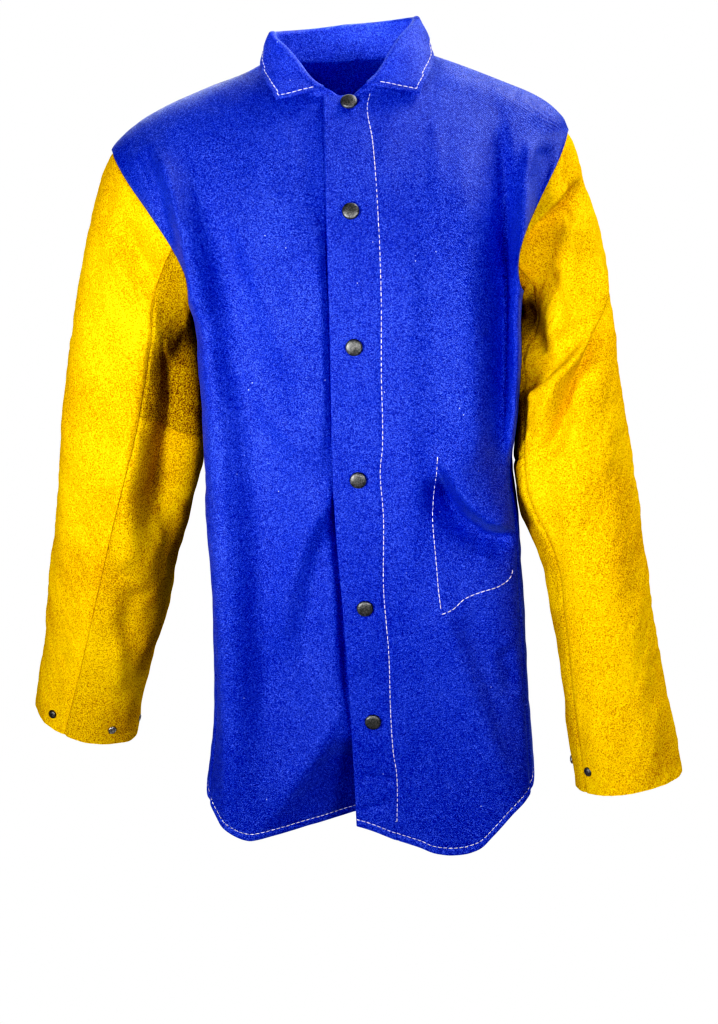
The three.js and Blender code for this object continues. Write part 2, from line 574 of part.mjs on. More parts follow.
// One piece of a sleeve between two seams and two sections. The seams wind down the sleeve.
function sleeveSheet(side, seams, fromSection, toSection, columns, rowCount) {
  const last = SLEEVES[side].length;
  const sheet = [];
  for (let i = 0; i < rowCount; i++) {
    const section = lerp(fromSection, toSection, i / (rowCount - 1));
    const down = section / last;
    const [from, to] = seams.map(([top, cuff]) => lerp(top, cuff, down) * DEGREE);
    for (let j = 0; j < columns; j++) {
      const angle = lerp(from, to, j / (columns - 1));
      const point = sleevePoint(side, angle, section);
      const direction = sleeveOutward(side, angle, section);
      const facing = smooth(Math.sin(angle), 0, 0.5) * smooth(section, 0, 0.9);
      point.addScaledVector(direction, foldHeight(SLEEVE_FOLDS[side], point.x, point.z) * facing);
      sheet.push({ point, direction, thickness: LEATHER });
    }
  }
  const faces = gridFaces(rowCount, columns);
  if (side === 'right') faces.forEach((face) => face.reverse());
  return { sheet, faces, facets: columns - 1 };
}

function sleevePieces(side) {
  const seam = SLEEVE_SEAMS[side];
  const last = SLEEVES[side].length;
  const apart = SEAM_GAP / 18 / DEGREE;
  const outer = [[seam.backTop - 360, seam.backCuff - 360], [seam.frontTop - apart, seam.frontCuff - apart]];
  const under = [[seam.frontTop, seam.frontCuff], [seam.backTop - apart, seam.backCuff - apart]];
  const split = SEAM_GAP / 60;
  return {
    outer: sleeveSheet(side, outer, SLEEVE_START, last, 13, 21),
    under_upper: sleeveSheet(side, under, SLEEVE_START, ELBOW_SEAM - split, 9, 11),
    under_lower: sleeveSheet(side, under, ELBOW_SEAM, last, 9, 11),
  };
}

// Snaps

// A snap or stud seen along its own axis: a domed cap outside, a post through the cloth and a
// flange inside. The cloth's outer face is at 0 and the grip is the cloth's whole depth.
function snapGeometry(size, grip) {
  const low = -grip - SNAP_LIFT;
  const profile = [
    [0, low - size.flangeH], [size.flangeR, low - size.flangeH], [size.flangeR, low], [size.postR, low],
    [size.postR, SNAP_LIFT], [size.capR, SNAP_LIFT], [size.capR, SNAP_LIFT + size.rim],
    [size.capR * 0.72, SNAP_LIFT + size.capH * 0.82], [0, SNAP_LIFT + size.capH],
  ];
  return new THREE.LatheGeometry(profile.map(([r, h]) => new THREE.Vector2(r, h)), size.sides);
}

// A turn that brings a lathe's axis, +Y, to the given direction.
function turnTo(direction) {
  return new THREE.Quaternion().setFromUnitVectors(new THREE.Vector3(0, 1, 0), direction);
}

function solidOf(geometry) {
  const bare = geometry.clone();
  for (const name of ['normal', 'uv']) bare.deleteAttribute(name);
  const merged = mergeVertices(bare, 1e-4);
  const vertProperties = new Float32Array(merged.attributes.position.array);
  const triVerts = new Uint32Array(merged.index.array);
  return new wasm.Manifold(new wasm.Mesh({ numProp: 3, vertProperties, triVerts }));
}

// The geometry with a round hole through it for each snap's post.
function withHoles(geometry, snaps, postR) {
  let solid = solidOf(geometry);
  for (const snap of snaps) {
    const drill = new THREE.CylinderGeometry(postR + SNAP_HOLE_PLAY, postR + SNAP_HOLE_PLAY, 24, HOLE_SIDES);
    drill.applyQuaternion(snap.turn).translate(...snap.place.toArray());
    solid = solid.subtract(solidOf(drill));
  }
  const mesh = solid.getMesh();
  const cut = new THREE.BufferGeometry();
  cut.setAttribute('position', new THREE.BufferAttribute(new Float32Array(mesh.vertProperties), 3));
  cut.setIndex(new THREE.BufferAttribute(new Uint32Array(mesh.triVerts), 1));
  return cut;
}

const jacket = new THREE.Group();

function addPiece(name, geometry, material) {
  const mesh = new THREE.Mesh(geometry, material);
  mesh.name = name;
  jacket.add(mesh);
  return mesh;
}

function addSnap(name, geometry, material, snap) {
  const mesh = addPiece(name, geometry, material);
  mesh.position.copy(snap.place);
  mesh.quaternion.copy(snap.turn);
}

// The front snaps stand on the middle of the placket and hold the two fronts together.
const frontSnaps = SNAPS.map(({ x, z }) => {
  const angle = angleAtX(x, z, 'front');
  return { place: torsoPoint(angle, z), turn: turnTo(torsoOutward(angle, z)) };
});
addPiece('right_front', withHoles(frontPanel('right'), frontSnaps, SNAP.postR), COTTON_BLUE);
addPiece('left_front', withHoles(frontPanel('left'), frontSnaps, SNAP.postR), COTTON_BLUE);
addPiece('back_panel', backPanel(), COTTON_BLUE);
addPiece('collar', collar(), COTTON_BLUE);
frontSnaps.forEach((snap, i) => {
  addSnap(`front_snap_${i + 1}`, snapGeometry(SNAP, UNDERLAP_INSET + COTTON), SNAP_METAL, snap);
});

// A snap's seat: the middle of a sheet's facet, turned to face straight out of it.
function facetSeat({ sheet, faces }, facet) {
  const corners = faces[facet].map((k) => sheet[k].point);
  const place = corners.reduce((sum, p) => sum.add(p), new THREE.Vector3()).divideScalar(4);
  const across = corners[2].clone().sub(corners[0]);
  const direction = across.cross(corners[3].clone().sub(corners[1])).normalize();
  return { place, turn: turnTo(direction) };
}

for (const side of ['right', 'left']) {
  const pieces = sleevePieces(side);
  const snaps = CUFF_SNAPS.map(({ name, piece, facet }) => {
    const { faces, facets } = pieces[piece];
    return { name, piece, ...facetSeat(pieces[piece], faces.length - facets + facet) };
  });
  for (const [piece, { sheet, faces }] of Object.entries(pieces)) {
    const own = snaps.filter((snap) => snap.piece === piece);
    const plain = sheetWall(sheet, faces);
    const geometry = own.length ? withHoles(plain, own, STUD.postR) : plain;
    addPiece(`${side}_sleeve_${piece}`, geometry, LEATHER_GOLD);
  }
  for (const snap of snaps) {
    const metal = snap.name === 'cap' ? SNAP_METAL : STUD_METAL;
    addSnap(`${side}_cuff_${snap.name}`, snapGeometry(STUD, LEATHER), metal, snap);
  }
}

export default jacket;
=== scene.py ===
import math

import bpy
import numpy as np
from mathutils import Matrix, Vector


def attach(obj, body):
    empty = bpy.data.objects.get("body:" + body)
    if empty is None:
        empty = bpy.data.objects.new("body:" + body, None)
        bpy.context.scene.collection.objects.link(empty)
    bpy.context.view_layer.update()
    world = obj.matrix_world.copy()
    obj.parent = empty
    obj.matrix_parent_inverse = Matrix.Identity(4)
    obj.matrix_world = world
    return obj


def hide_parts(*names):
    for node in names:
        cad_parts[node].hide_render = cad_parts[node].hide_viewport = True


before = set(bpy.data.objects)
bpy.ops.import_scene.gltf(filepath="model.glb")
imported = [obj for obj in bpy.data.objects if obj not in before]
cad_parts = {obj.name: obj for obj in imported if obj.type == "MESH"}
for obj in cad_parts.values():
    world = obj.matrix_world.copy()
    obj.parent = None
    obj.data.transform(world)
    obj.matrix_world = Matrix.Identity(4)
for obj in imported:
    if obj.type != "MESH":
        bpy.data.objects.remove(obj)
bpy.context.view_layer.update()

# Camera
# A long lens about 2.3 m in front of the jacket, a little above its middle and held slightly out of
# level. It looks down on the jacket by 12 degrees.
CAMERA_AIM = np.array([-0.006424, 0.0, -0.442910])
CAMERA_AWAY = 2.3
CAMERA_RISE, CAMERA_TURN, CAMERA_ROLL = np.radians([12.0, 2.0, 2.6])
FILM_LONG_SIDE = 36.0
FOCAL_SHARE = 2335 / 1024      # focal length as a share of the image's long side


def camera_axes():
    """The camera's right, up and backward directions: backward comes from its turn and rise, right is
    level, and both right and up are then rolled about backward."""
    backward = np.array([np.sin(CAMERA_TURN) * np.cos(CAMERA_RISE),
                         -np.cos(CAMERA_TURN) * np.cos(CAMERA_RISE), np.sin(CAMERA_RISE)])
    level = np.array([np.cos(CAMERA_TURN), np.sin(CAMERA_TURN), 0.0])
    upright = np.cross(backward, level)
    right = level * np.cos(CAMERA_ROLL) - upright * np.sin(CAMERA_ROLL)
    up = level * np.sin(CAMERA_ROLL) + upright * np.cos(CAMERA_ROLL)
    return right, up, backward


def put(name, data):
    """A new object in the scene, at the origin until it is moved."""
    thing = bpy.data.objects.new(name, data)
    bpy.context.scene.collection.objects.link(thing)
    return thing


camera_right, camera_up, camera_backward = camera_axes()
camera_place = CAMERA_AIM + camera_backward * CAMERA_AWAY
camera_columns = np.stack([camera_right, camera_up, camera_backward, camera_place], axis=1)
camera = put("camera", bpy.data.cameras.new("camera"))
camera.data.sensor_width = FILM_LONG_SIDE
camera.data.lens = FILM_LONG_SIDE * FOCAL_SHARE
camera.matrix_world = Matrix(np.vstack([camera_columns, [0, 0, 0, 1]]).tolist())
bpy.context.scene.camera = camera

# Back panel
# One panel of royal-blue flame-resistant cotton, cut from side seam to side seam and up to the shoulder
# seams and the neckline. It hangs from the shoulders in long soft folds, and its hem is turned up and
# stitched with pale thread.
MM = 0.001
COTTON = 1.2                   # wall of one layer of body cloth, mm like every length below
TIP_Z, PIT_Z = -80, -226       # heights of the shoulder tips and the armpits
NECK_HALF = 67
NECK_DROP = {"front": 37, "back": 8}
NECK_FADE = {"front": 130, "back": 60}     # heights over which the rows bend down to the neckline
# The power of the torso's section, 2 for an ellipse and more for a squarer one: at the back and the
# shoulders, and down the front, which is flat below the second height.
ROUND_POWER, FRONT_POWER, FLAT_FROM, FLAT_BELOW = 2.33, 5.0, -160, -280
SIDE_SEAM_SHIFT, SIDE_SEAM_EASE = math.radians(34), 200     # its turn forward, and the height it takes
SEAM_GAP, LEAST_DEPTH = 0.5, 8     # gap at a sewn seam, and the least depth that makes it an angle
ARMHOLE_SCOOP = {"front": 17, "back": 8}
ARMHOLE_LOWNESS = 1.6
EDGE_BEND = 2.5                # above 1, only a panel's outer columns lean in along the armhole
SIGN = {"right": -1, "left": 1}
HEM_ROWS = np.array([0, 0.6, 1.4, 2.4, 3.6, 5, 6.2, 7.4, 8.6, 10, 12])     # heights above the hem
SKIRT_FOOT, SKIRT_LENGTH = -750, 520
LEAN_LIMIT = 1.5               # most lean that counts in a step up the cloth, as a share of its rise
# Level sections of the torso: z, half widths to the wearer's right and left, front, side and back.
TORSO = np.array([
    (-800, 176, 160, -54, 10, 145), (-720, 172, 158, -60, 10, 142), (-640, 160, 155, -72, 9, 136),
    (-515, 153, 151, -97, 8, 128), (-440, 153, 149, -106, 8, 128), (-390, 151, 145, -110, 8, 128),
    (-340, 150, 151, -114, 8, 129), (-290, 150, 155, -118, 8, 131),
    (-226, 157, 161, -117, 9, 131), (-200, 179, 175, -115, 10, 130), (-168, 216, 205, -109, 11, 127),
    (-140, 234, 221, -100, 12, 123), (-110, 237, 221, -87, 12, 117), (-80, 228, 210, -70, 12, 109),
    (-66, 215, 203, -61, 12, 104), (-48, 188, 182, -47, 12, 96), (-30, 145, 144, -31, 12, 84),
    (-14, 98, 106, -13, 12, 68), (0, 70, 72, 2, 12, 53), (10, 52, 54, 12, 12, 42),
], float)
# Height of the back's hem at each angle round from the middle of the front, in degrees.
BACK_HEM = np.array([(50, -738), (56, -724), (70, -710), (90, -704), (115, -720), (145, -744),
                     (180, -752)], float)


def smooth(value, low, high):
    """An S-shaped step from 0 at low to 1 at high."""
    t = np.clip((value - low) / (high - low), 0, 1)
    return t * t * (3 - 2 * t)


def mix(a, b, share):
    """The value a share of the way from a to b."""
    return a + (b - a) * share


def bell(distance, width):
    """A bell-shaped curve: 1 at no distance, and about a third at the given width."""
    return np.exp(-(distance / width) ** 2)


def unit(vectors):
    """The vectors at a length of 1."""
    return vectors / (np.linalg.norm(vectors, axis=-1, keepdims=True) + 1e-9)


def walked(path):
    """Distances along a path of points from its start to each of them."""
    return np.concatenate([[0], np.cumsum(np.linalg.norm(np.diff(path, axis=0), axis=1))])


def cubic(p, q, leave, arrive, t):
    """A cubic curve a share t of the way from p to q, with the given slopes at its ends."""
    return ((1 + 2 * t) * (1 - t) ** 2 * p + t * (1 - t) ** 2 * leave
            + t * t * (3 - 2 * t) * q + t * t * (t - 1) * arrive)


def curve_through(table, at):
    """Cubic curves through a table's rows, which rise in their first column: each row's slope is the
    mean of the chords on both sides of it, and past the ends the value stays."""
    keys, values = table[:, 0], table[:, 1:]
    chords = np.diff(values, axis=0) / np.diff(keys)[:, None]
    slopes = (np.vstack([chords[:1], chords]) + np.vstack([chords, chords[-1:]])) / 2
    i = np.clip(np.searchsorted(keys, at) - 1, 0, len(keys) - 2)
    span = (keys[i + 1] - keys[i])[..., None]
    t = np.clip((at - keys[i])[..., None] / span, 0, 1)
    return cubic(values[i], values[i + 1], span * slopes[i], span * slopes[i + 1], t)


def section_power(angle, z):
    """The section's power at an angle and a height: it rises down the front."""
    front = mix(FRONT_POWER, ROUND_POWER, smooth(z, FLAT_BELOW, FLAT_FROM))
    return np.where(np.cos(angle) > 0, front, ROUND_POWER)


def torso_point(angle, z):
    """A point of the torso's form: in each quarter the section is a superellipse, on which the powers of
    x and y as shares of the half width and the depth add up to 1. The angle is 0 at the middle of the
    front."""
    angle, z = np.broadcast_arrays(np.asarray(angle, float), np.asarray(z, float))
    right, left, front, side, back = np.moveaxis(curve_through(TORSO, z), -1, 0)
    half = np.where(np.sin(angle) < 0, right, left)
    reach = np.where(np.cos(angle) > 0, front, back)
    power = section_power(angle, z)
    bulge = (np.abs(np.sin(angle)) ** power + np.abs(np.cos(angle)) ** power) ** (-1 / power)
    y = side + (reach - side) * np.abs(np.cos(angle)) * bulge
    return np.stack([half * np.sin(angle) * bulge, y, z], axis=-1)


def torso_outward(angle, z):
    """The outward directions of the torso's form, from steps of 0.01 radian and 1 mm on both sides."""
    along = torso_point(angle + 0.01, z) - torso_point(angle - 0.01, z)
    return unit(np.cross(along, torso_point(angle, z + 1) - torso_point(angle, z - 1)))


def angle_at_x(x, z, face):
    """The angle at which the torso's front or back has the given x, by halving the range 40 times."""
    x, z = np.broadcast_arrays(np.asarray(x, float), np.asarray(z, float))
    turn = np.where(x < 0, -1.0, 1.0)
    low, high = np.zeros(x.shape), np.full(x.shape, np.pi / 2)
    for _ in range(40):
        middle = (low + high) / 2
        inside = np.abs(torso_point(middle * turn, z)[..., 0]) < np.abs(x)
        low, high = np.where(inside, middle, low), np.where(inside, high, middle)
    return turn * (low if face == "front" else np.pi - low)


def armhole_x(side, share, face):
    """The armhole's edge a share of the way down it: a straight line from shoulder tip to armpit that
    bows in by a parabola, lowest below its middle."""
    column = {"right": 0, "left": 1}[side]
    tip, pit = curve_through(TORSO, np.array([TIP_Z, PIT_Z], float))[:, column]
    low = share ** ARMHOLE_LOWNESS
    return SIGN[side] * (mix(tip, pit, share) - ARMHOLE_SCOOP[face] * 4 * low * (1 - low))


def side_angle(side, z, face):
    """Where a panel's row ends: on the armhole between tip and armpit, and else on the side or
    shoulder seam, which runs forward of the side low down."""
    share = np.clip((TIP_Z - z) / (TIP_Z - PIT_Z), 0, 1)
    on_armhole = angle_at_x(armhole_x(side, share, face), z, face)
    forward = SIDE_SEAM_SHIFT * (1 - smooth(z, PIT_Z - SIDE_SEAM_EASE, PIT_Z))
    front, middle, back = curve_through(TORSO, z)[:, 2:].T
    depth = np.abs((front if face == "front" else back) - middle)
    gap = SEAM_GAP / 2 / np.maximum(depth, LEAST_DEPTH)
    on_seam = SIGN[side] * (np.pi / 2 - forward + (-gap if face == "front" else gap))
    return np.where((z < TIP_Z) & (z > PIT_Z), on_armhole, on_seam)


def panel_levels(skirt_rows, armhole_rows, shoulder_rows):
    """Heights of a panel's rows from the hem up, close together at the hem, and for the rows at or
    under the armpit the share of the way up from the hem, which isn't level."""
    hem = HEM_ROWS / SKIRT_LENGTH
    skirt = np.concatenate([hem, np.linspace(hem[-1], 1, skirt_rows)[1:]])
    armhole = mix(PIT_Z, TIP_Z, (1 - np.cos(np.linspace(0, np.pi, armhole_rows)[1:])) / 2)
    shoulder = np.linspace(TIP_Z, 0, shoulder_rows)[1:]
    levels = np.concatenate([mix(SKIRT_FOOT, PIT_Z, skirt), armhole, shoulder])
    shares = np.concatenate([skirt, np.full(len(armhole) + len(shoulder), 1.0)])
    return levels, shares


def cut_lengths(points):
    """Distances over the cloth: across from the first column along each row, and up from the hem along
    each column."""
    across = np.linalg.norm(np.diff(points, axis=1), axis=-1)
    up = np.linalg.norm(np.diff(points, axis=0), axis=-1)
    return (np.pad(np.cumsum(across, axis=1), ((0, 0), (1, 0))),
            np.pad(np.cumsum(up, axis=0), ((1, 0), (0, 0))))


def panel_lengths(points):
    """Distances over a body panel: across as above, and up from the hem by each step's rise and lean,
    without its sideways part, which is large where the columns bend out to the armpit."""
    rise = np.abs(np.diff(points[..., 2], axis=0))
    lean = np.minimum(np.abs(np.diff(points[..., 1], axis=0)), LEAN_LIMIT * rise)
    return cut_lengths(points)[0], np.pad(np.cumsum(np.hypot(rise, lean), axis=0), ((1, 0), (0, 0)))


def outward_of(points, turned):
    """Unit normals of a grid of points from the cross product of its two directions."""
    normal = unit(np.cross(np.gradient(points, axis=1), np.gradient(points, axis=0)))
    return -normal if turned else normal


FOLD_ENDS = (-0.04, 0.22)      # shares of a fold's path between which it rises from nothing
WAVES, WAVE_SPREAD = 14, (0.6, 1.7)


def fold_field(x, z, folds):
    """Sum of the folds' heights at the given places. A fold follows a path of (x, z) points and falls
    off beside it as a bell, with one width to its left, or below it, and another to its right, or
    above it. Its height dies out at both ends."""
    total = np.zeros(np.shape(x))
    for height, left_width, right_width, path in folds:
        path = np.array(path, float)
        start, run = path[:-1], np.diff(path, axis=0)
        length = np.hypot(run[:, 0], run[:, 1])
        off_x, off_z = x[..., None] - start[:, 0], z[..., None] - start[:, 1]
        t = np.clip((off_x * run[:, 0] + off_z * run[:, 1]) / length ** 2, 0, 1)
        away = np.hypot(off_x - t * run[:, 0], off_z - t * run[:, 1])
        side = run[:, 0] * off_z - run[:, 1] * off_x
        along = (np.cumsum(length) - length + t * length) / length.sum()
        nearest = np.argmin(away, axis=-1)[..., None]
        away, side, along = (np.take_along_axis(a, nearest, -1)[..., 0] for a in (away, side, along))
        width = np.where(side < 0, left_width, right_width)
        ends = smooth(along, *FOLD_ENDS) * smooth(1 - along, *FOLD_ENDS)
        total += height * ends * bell(away, width)
    return total


def crumple(u, v, size, seed):
    """Unevenness of handled cloth: sine waves of random direction, phase and length near the given
    size, added up to a height of about 1."""
    draw = np.random.default_rng(seed)
    turn, phase = draw.uniform(0, 2 * np.pi, (2, WAVES))
    number = 2 * np.pi / (size * draw.uniform(*WAVE_SPREAD, WAVES))
    waves = [np.sin((u * np.cos(a) + v * np.sin(a)) * k + p) for a, p, k in zip(turn, phase, number)]
    return np.sum(waves, axis=0) / np.sqrt(WAVES)


def creases(u, v, edge, kinds, shift=0):
    """Crumples of a few kinds added up. A kind gives its height, the share of v that counts, its size,
    its seed and how far in from an edge it takes to set in. The shift moves the seeds on."""
    return sum(height * crumple(u, v * share, size, seed + shift) * smooth(edge, 0, inset)
               for height, share, size, seed, inset in kinds)


def turned_edge(distance, radius):
    """How far a folded edge's outer face lies in: a quarter circle of the given radius."""
    d = np.clip(distance, 0, radius)
    return radius - np.sqrt(radius ** 2 - (radius - d) ** 2)


HEM_STITCH = 7.4                         # stitches of the hem above its edge
HEM_STAND, HEM_BLEND = 0.6, 2            # the doubled cloth, and the step at its end
HEM_SINK, HEM_SINK_WIDTH = 0.8, 1.5      # the groove that the stitches pull in
SEAM_ROLL, SEAM_ROLL_WIDTH = 1.6, 3.2    # how far and how widely an edge turns in at a sewn seam


def edge_relief(up, seam):
    """Relief of a body panel's edges: the doubled hem stands out below its stitches, which sink in, its
    foot is rounded, and the cloth turns in beside the seams as a bell."""
    doubled = HEM_STAND * (1 - smooth(up, HEM_STITCH - HEM_BLEND, HEM_STITCH))
    groove = HEM_SINK * bell(up - HEM_STITCH, HEM_SINK_WIDTH)
    return doubled - groove - turned_edge(up, COTTON) - SEAM_ROLL * bell(seam, SEAM_ROLL_WIDTH)


SHARP_FROM = math.radians(62)


def put_mesh(name, vertices, faces, places):
    """An object at the origin from vertices in mm and faces of four corners, smooth except across
    sharp edges, with the cloth's flat places in metres as a UV map."""
    mesh = bpy.data.meshes.new(name)
    mesh.vertices.add(len(vertices))
    mesh.vertices.foreach_set("co", (vertices * MM).astype(np.float32).ravel())
    corners = faces.astype(np.int32).ravel()
    mesh.loops.add(len(corners))
    mesh.loops.foreach_set("vertex_index", corners)
    mesh.polygons.add(len(faces))
    mesh.polygons.foreach_set("loop_start", np.arange(0, len(corners), 4, dtype=np.int32))
    mesh.polygons.foreach_set("use_smooth", np.ones(len(faces), bool))
    layer = mesh.uv_layers.new(name="cut")
    layer.data.foreach_set("uv", (places[corners] * MM).astype(np.float32).ravel())
    mesh.update(calc_edges=True)
    mesh.validate()
    mesh.set_sharp_from_angle(angle=SHARP_FROM)
    return put(name, mesh)


def sheet_piece(name, outer, inner, places, turned):
    """A closed sheet: an outer and an inner grid joined by a rim round their four edges."""
    rows, columns = outer.shape[:2]
    count = rows * columns
    index = np.arange(count).reshape(rows, columns)
    quads = np.stack([index[:-1, :-1], index[:-1, 1:], index[1:, 1:], index[1:, :-1]], -1)
    quads = quads.reshape(-1, 4)
    border = np.concatenate([index[0], index[1:, -1], index[-1, -2::-1], index[-2:0:-1, 0]])
    after = np.roll(border, -1)
    rim = np.stack([after, border, border + count, after + count], -1)
    faces = np.vstack([quads, quads[:, ::-1] + count, rim])
    if turned:
        faces = faces[:, ::-1]
    vertices = np.vstack([outer.reshape(-1, 3), inner.reshape(-1, 3)])
    flat = places.reshape(-1, 2)
    return put_mesh(name, vertices, faces, np.vstack([flat, flat]))


def nodes_of(tree):
    """A short way to add a node: its kind, its settings, and its inputs by name or number, each a
    value or another node's output."""
    def add(kind, inputs, **settings):
        node = tree.nodes.new(kind)
        for key, value in settings.items():
            setattr(node, key, value)
        for key, value in inputs.items():
            if isinstance(value, bpy.types.NodeSocket):
                tree.links.new(value, node.inputs[key])
            else:
                node.inputs[key].default_value = value
        return node
    return add


def maths(add, operation, a, b):
    """The output of a node that works out one operation on two numbers."""
    return add("ShaderNodeMath", {0: a, 1: b}, operation=operation).outputs[0]


def colour_ramp(add, value, stops):
    """The colour at a value on a ramp of stops, each a position and a colour."""
    ramp = add("ShaderNodeValToRGB", {0: value})
    first, *inner, last = stops
    for mark, (position, colour) in zip(ramp.color_ramp.elements, (first, last)):
        mark.position = position
        mark.color = colour
    for position, colour in inner:
        ramp.color_ramp.elements.new(position).color = colour
    return ramp.outputs[0]


def effect_group(name, setting, value, outputs):
    """A node group with a place and one setting, which has its usual value, as inputs and with floats as
    outputs: the group, the short way to add nodes, and both inputs."""
    group = bpy.data.node_groups.new(name, "ShaderNodeTree")
    group.interface.new_socket("Place", in_out="INPUT", socket_type="NodeSocketVector")
    made = group.interface.new_socket(setting, in_out="INPUT", socket_type="NodeSocketFloat")
    made.default_value = value
    for socket in outputs:
        group.interface.new_socket(socket, in_out="OUTPUT", socket_type="NodeSocketFloat")
    add = nodes_of(group)
    given = add("NodeGroupInput", {}).outputs
    return group, add, given["Place"], given[setting]


def mottle_group():
    """Uneven dye and nap: a coarse noise for the clouds, a fine one for the specks, and a random value
    in each of many small cells for the crisp grain. Grain is the size of speck and cell in metres."""
    group, add, place, grain = effect_group("mottle", "Grain", 0.002, ["Cloud", "Speck", "Cell"])
    number = maths(add, "DIVIDE", 1.0, grain)
    cloud = add("ShaderNodeTexNoise", {"Vector": place, "Scale": 14.0, "Detail": 4.0})
    speck = add("ShaderNodeTexNoise", {"Vector": place, "Scale": number, "Detail": 2.0, "Roughness": 0.7})
    cell = add("ShaderNodeTexVoronoi", {"Vector": place, "Scale": number})
    chance = add("ShaderNodeSeparateColor", {"Color": cell.outputs["Color"]})
    add("NodeGroupOutput", {"Cloud": cloud.outputs["Fac"], "Speck": speck.outputs["Fac"],
                            "Cell": chance.outputs[0]})
    return group


BAND_PITCH = 0.314             # distance between a wave pattern's bands at a scale of 1
LINT_REACH = 0.14              # size of a fibre as a share of its cell


def twill_group():
    """A twill weave's height: diagonal ridges one pitch apart, broken up by the weft's finer ridges
    across them."""
    group, add, place, pitch = effect_group("twill", "Pitch", 0.001, ["Height"])
    number = maths(add, "DIVIDE", BAND_PITCH, pitch)
    ridge = add("ShaderNodeTexWave", {"Vector": place, "Scale": number, "Distortion": 1.2, "Detail": 1.0},
                bands_direction="DIAGONAL")
    weft = add("ShaderNodeTexWave", {"Vector": place, "Scale": number, "Distortion": 0.6},
               bands_direction="Y")
    add("NodeGroupOutput", {"Height": maths(add, "MULTIPLY", ridge.outputs["Fac"], weft.outputs["Fac"])})
    return group


def lint_group():
    """Stray pale fibres: the small cells of a scattered pattern whose random value is highest."""
    group, add, place, share = effect_group("lint", "Share", 0.02, ["Mask"])
    cell = add("ShaderNodeTexVoronoi", {"Vector": place, "Scale": 260.0})
    chance = add("ShaderNodeSeparateColor", {"Color": cell.outputs["Color"]}).outputs[0]
    chosen = maths(add, "GREATER_THAN", chance, maths(add, "SUBTRACT", 1.0, share))
    small = maths(add, "LESS_THAN", cell.outputs["Distance"], LINT_REACH)
    add("NodeGroupOutput", {"Mask": maths(add, "MULTIPLY", chosen, small)})
    return group


MOTTLE, TWILL, LINT = mottle_group(), twill_group(), lint_group()
CLOUD_RANGE = (0.3, 0.7)
COTTON_STOPS = [(0.05, (0.001, 0.008, 0.22, 1)), (0.55, (0.003, 0.030, 0.47, 1)),
                (0.95, (0.100, 0.165, 0.80, 1))]
LINT_COLOUR = (0.62, 0.66, 0.85, 1)
THREAD_STOPS = [(0.0, (0.82, 0.70, 0.66, 1)), (1.0, (1.0, 0.95, 0.92, 1))]


def material_nodes(name):
    """A new material with an empty tree, and the short way to add nodes to it."""
    material = bpy.data.materials.new(name)
    material.use_nodes = True
    material.node_tree.nodes.clear()
    return material, nodes_of(material.node_tree)


def principled(add, inputs):
    """A Principled shader with the given inputs, on the material's output."""
    shader = add("ShaderNodeBsdfPrincipled", inputs)
    add("ShaderNodeOutputMaterial", {"Surface": shader.outputs[0]})


def carried(add, value, given, low, high):
    """A value carried from the given range over to the one from low to high."""
    return add("ShaderNodeMapRange", {0: value, 1: given[0], 2: given[1], 3: low, 4: high}).outputs[0]


def cotton_material():
    """Dyed twill: the mottle's grain runs the colour from shade to light, lint lies on it, and the
    weave and the grain give its bump."""
    material, add = material_nodes("cotton")
    place = add("ShaderNodeUVMap", {}, uv_map="cut").outputs[0]
    solid = add("ShaderNodeTexCoord", {}).outputs["Object"]
    mottle = add("ShaderNodeGroup", {"Place": solid, "Grain": 0.00055}, node_tree=MOTTLE).outputs
    weave = add("ShaderNodeGroup", {"Place": place, "Pitch": 0.0014}, node_tree=TWILL).outputs
    lint = add("ShaderNodeGroup", {"Place": place, "Share": 0.006}, node_tree=LINT).outputs
    cloud = carried(add, mottle["Cloud"], CLOUD_RANGE, -0.06, 0.06)
    dye = colour_ramp(add, maths(add, "ADD", mottle["Cell"], cloud), COTTON_STOPS)
    colour = add("ShaderNodeMix", {0: lint["Mask"], 6: dye, 7: LINT_COLOUR}, data_type="RGBA")
    height = maths(add, "ADD", weave["Height"], mottle["Speck"])
    bump = add("ShaderNodeBump", {"Strength": 0.55, "Distance": 0.0006, "Height": height})
    principled(add, {"Base Color": colour.outputs[2], "Normal": bump.outputs[0], "Roughness": 0.55,
                     "Specular IOR Level": 0.34, "Sheen Weight": 0.2, "Sheen Roughness": 0.3,
                     "Sheen Tint": (0.45, 0.60, 1.0, 1)})
    return material


def thread_material():
    """Pale cotton thread with fine twisted plies along it."""
    material, add = material_nodes("thread")
    place = add("ShaderNodeTexCoord", {}).outputs["Object"]
    ply = add("ShaderNodeTexNoise", {"Vector": place, "Scale": 900.0, "Detail": 1.0}).outputs["Fac"]
    bump = add("ShaderNodeBump", {"Strength": 0.4, "Distance": 0.0002, "Height": ply})
    principled(add, {"Base Color": colour_ramp(add, ply, THREAD_STOPS), "Normal": bump.outputs[0],
                     "Roughness": 0.7})
    return material


COTTON_CLOTH, PALE_THREAD = cotton_material(), thread_material()
STITCH_PITCH, STITCH_GAP, THREAD_R = 5.4, 0.6, 0.42
STITCH_RINGS, STITCH_SIDES = 5, 6
# A stitch's radius at its ends, its rise in the middle and its dive at the ends, as shares of the thread's
# radius, and where along it the ends are taken.
STITCH_TAPER, STITCH_RISE, STITCH_DIVE, STITCH_TIPS = 0.3, 1.1, 0.75, (0.02, 0.98)


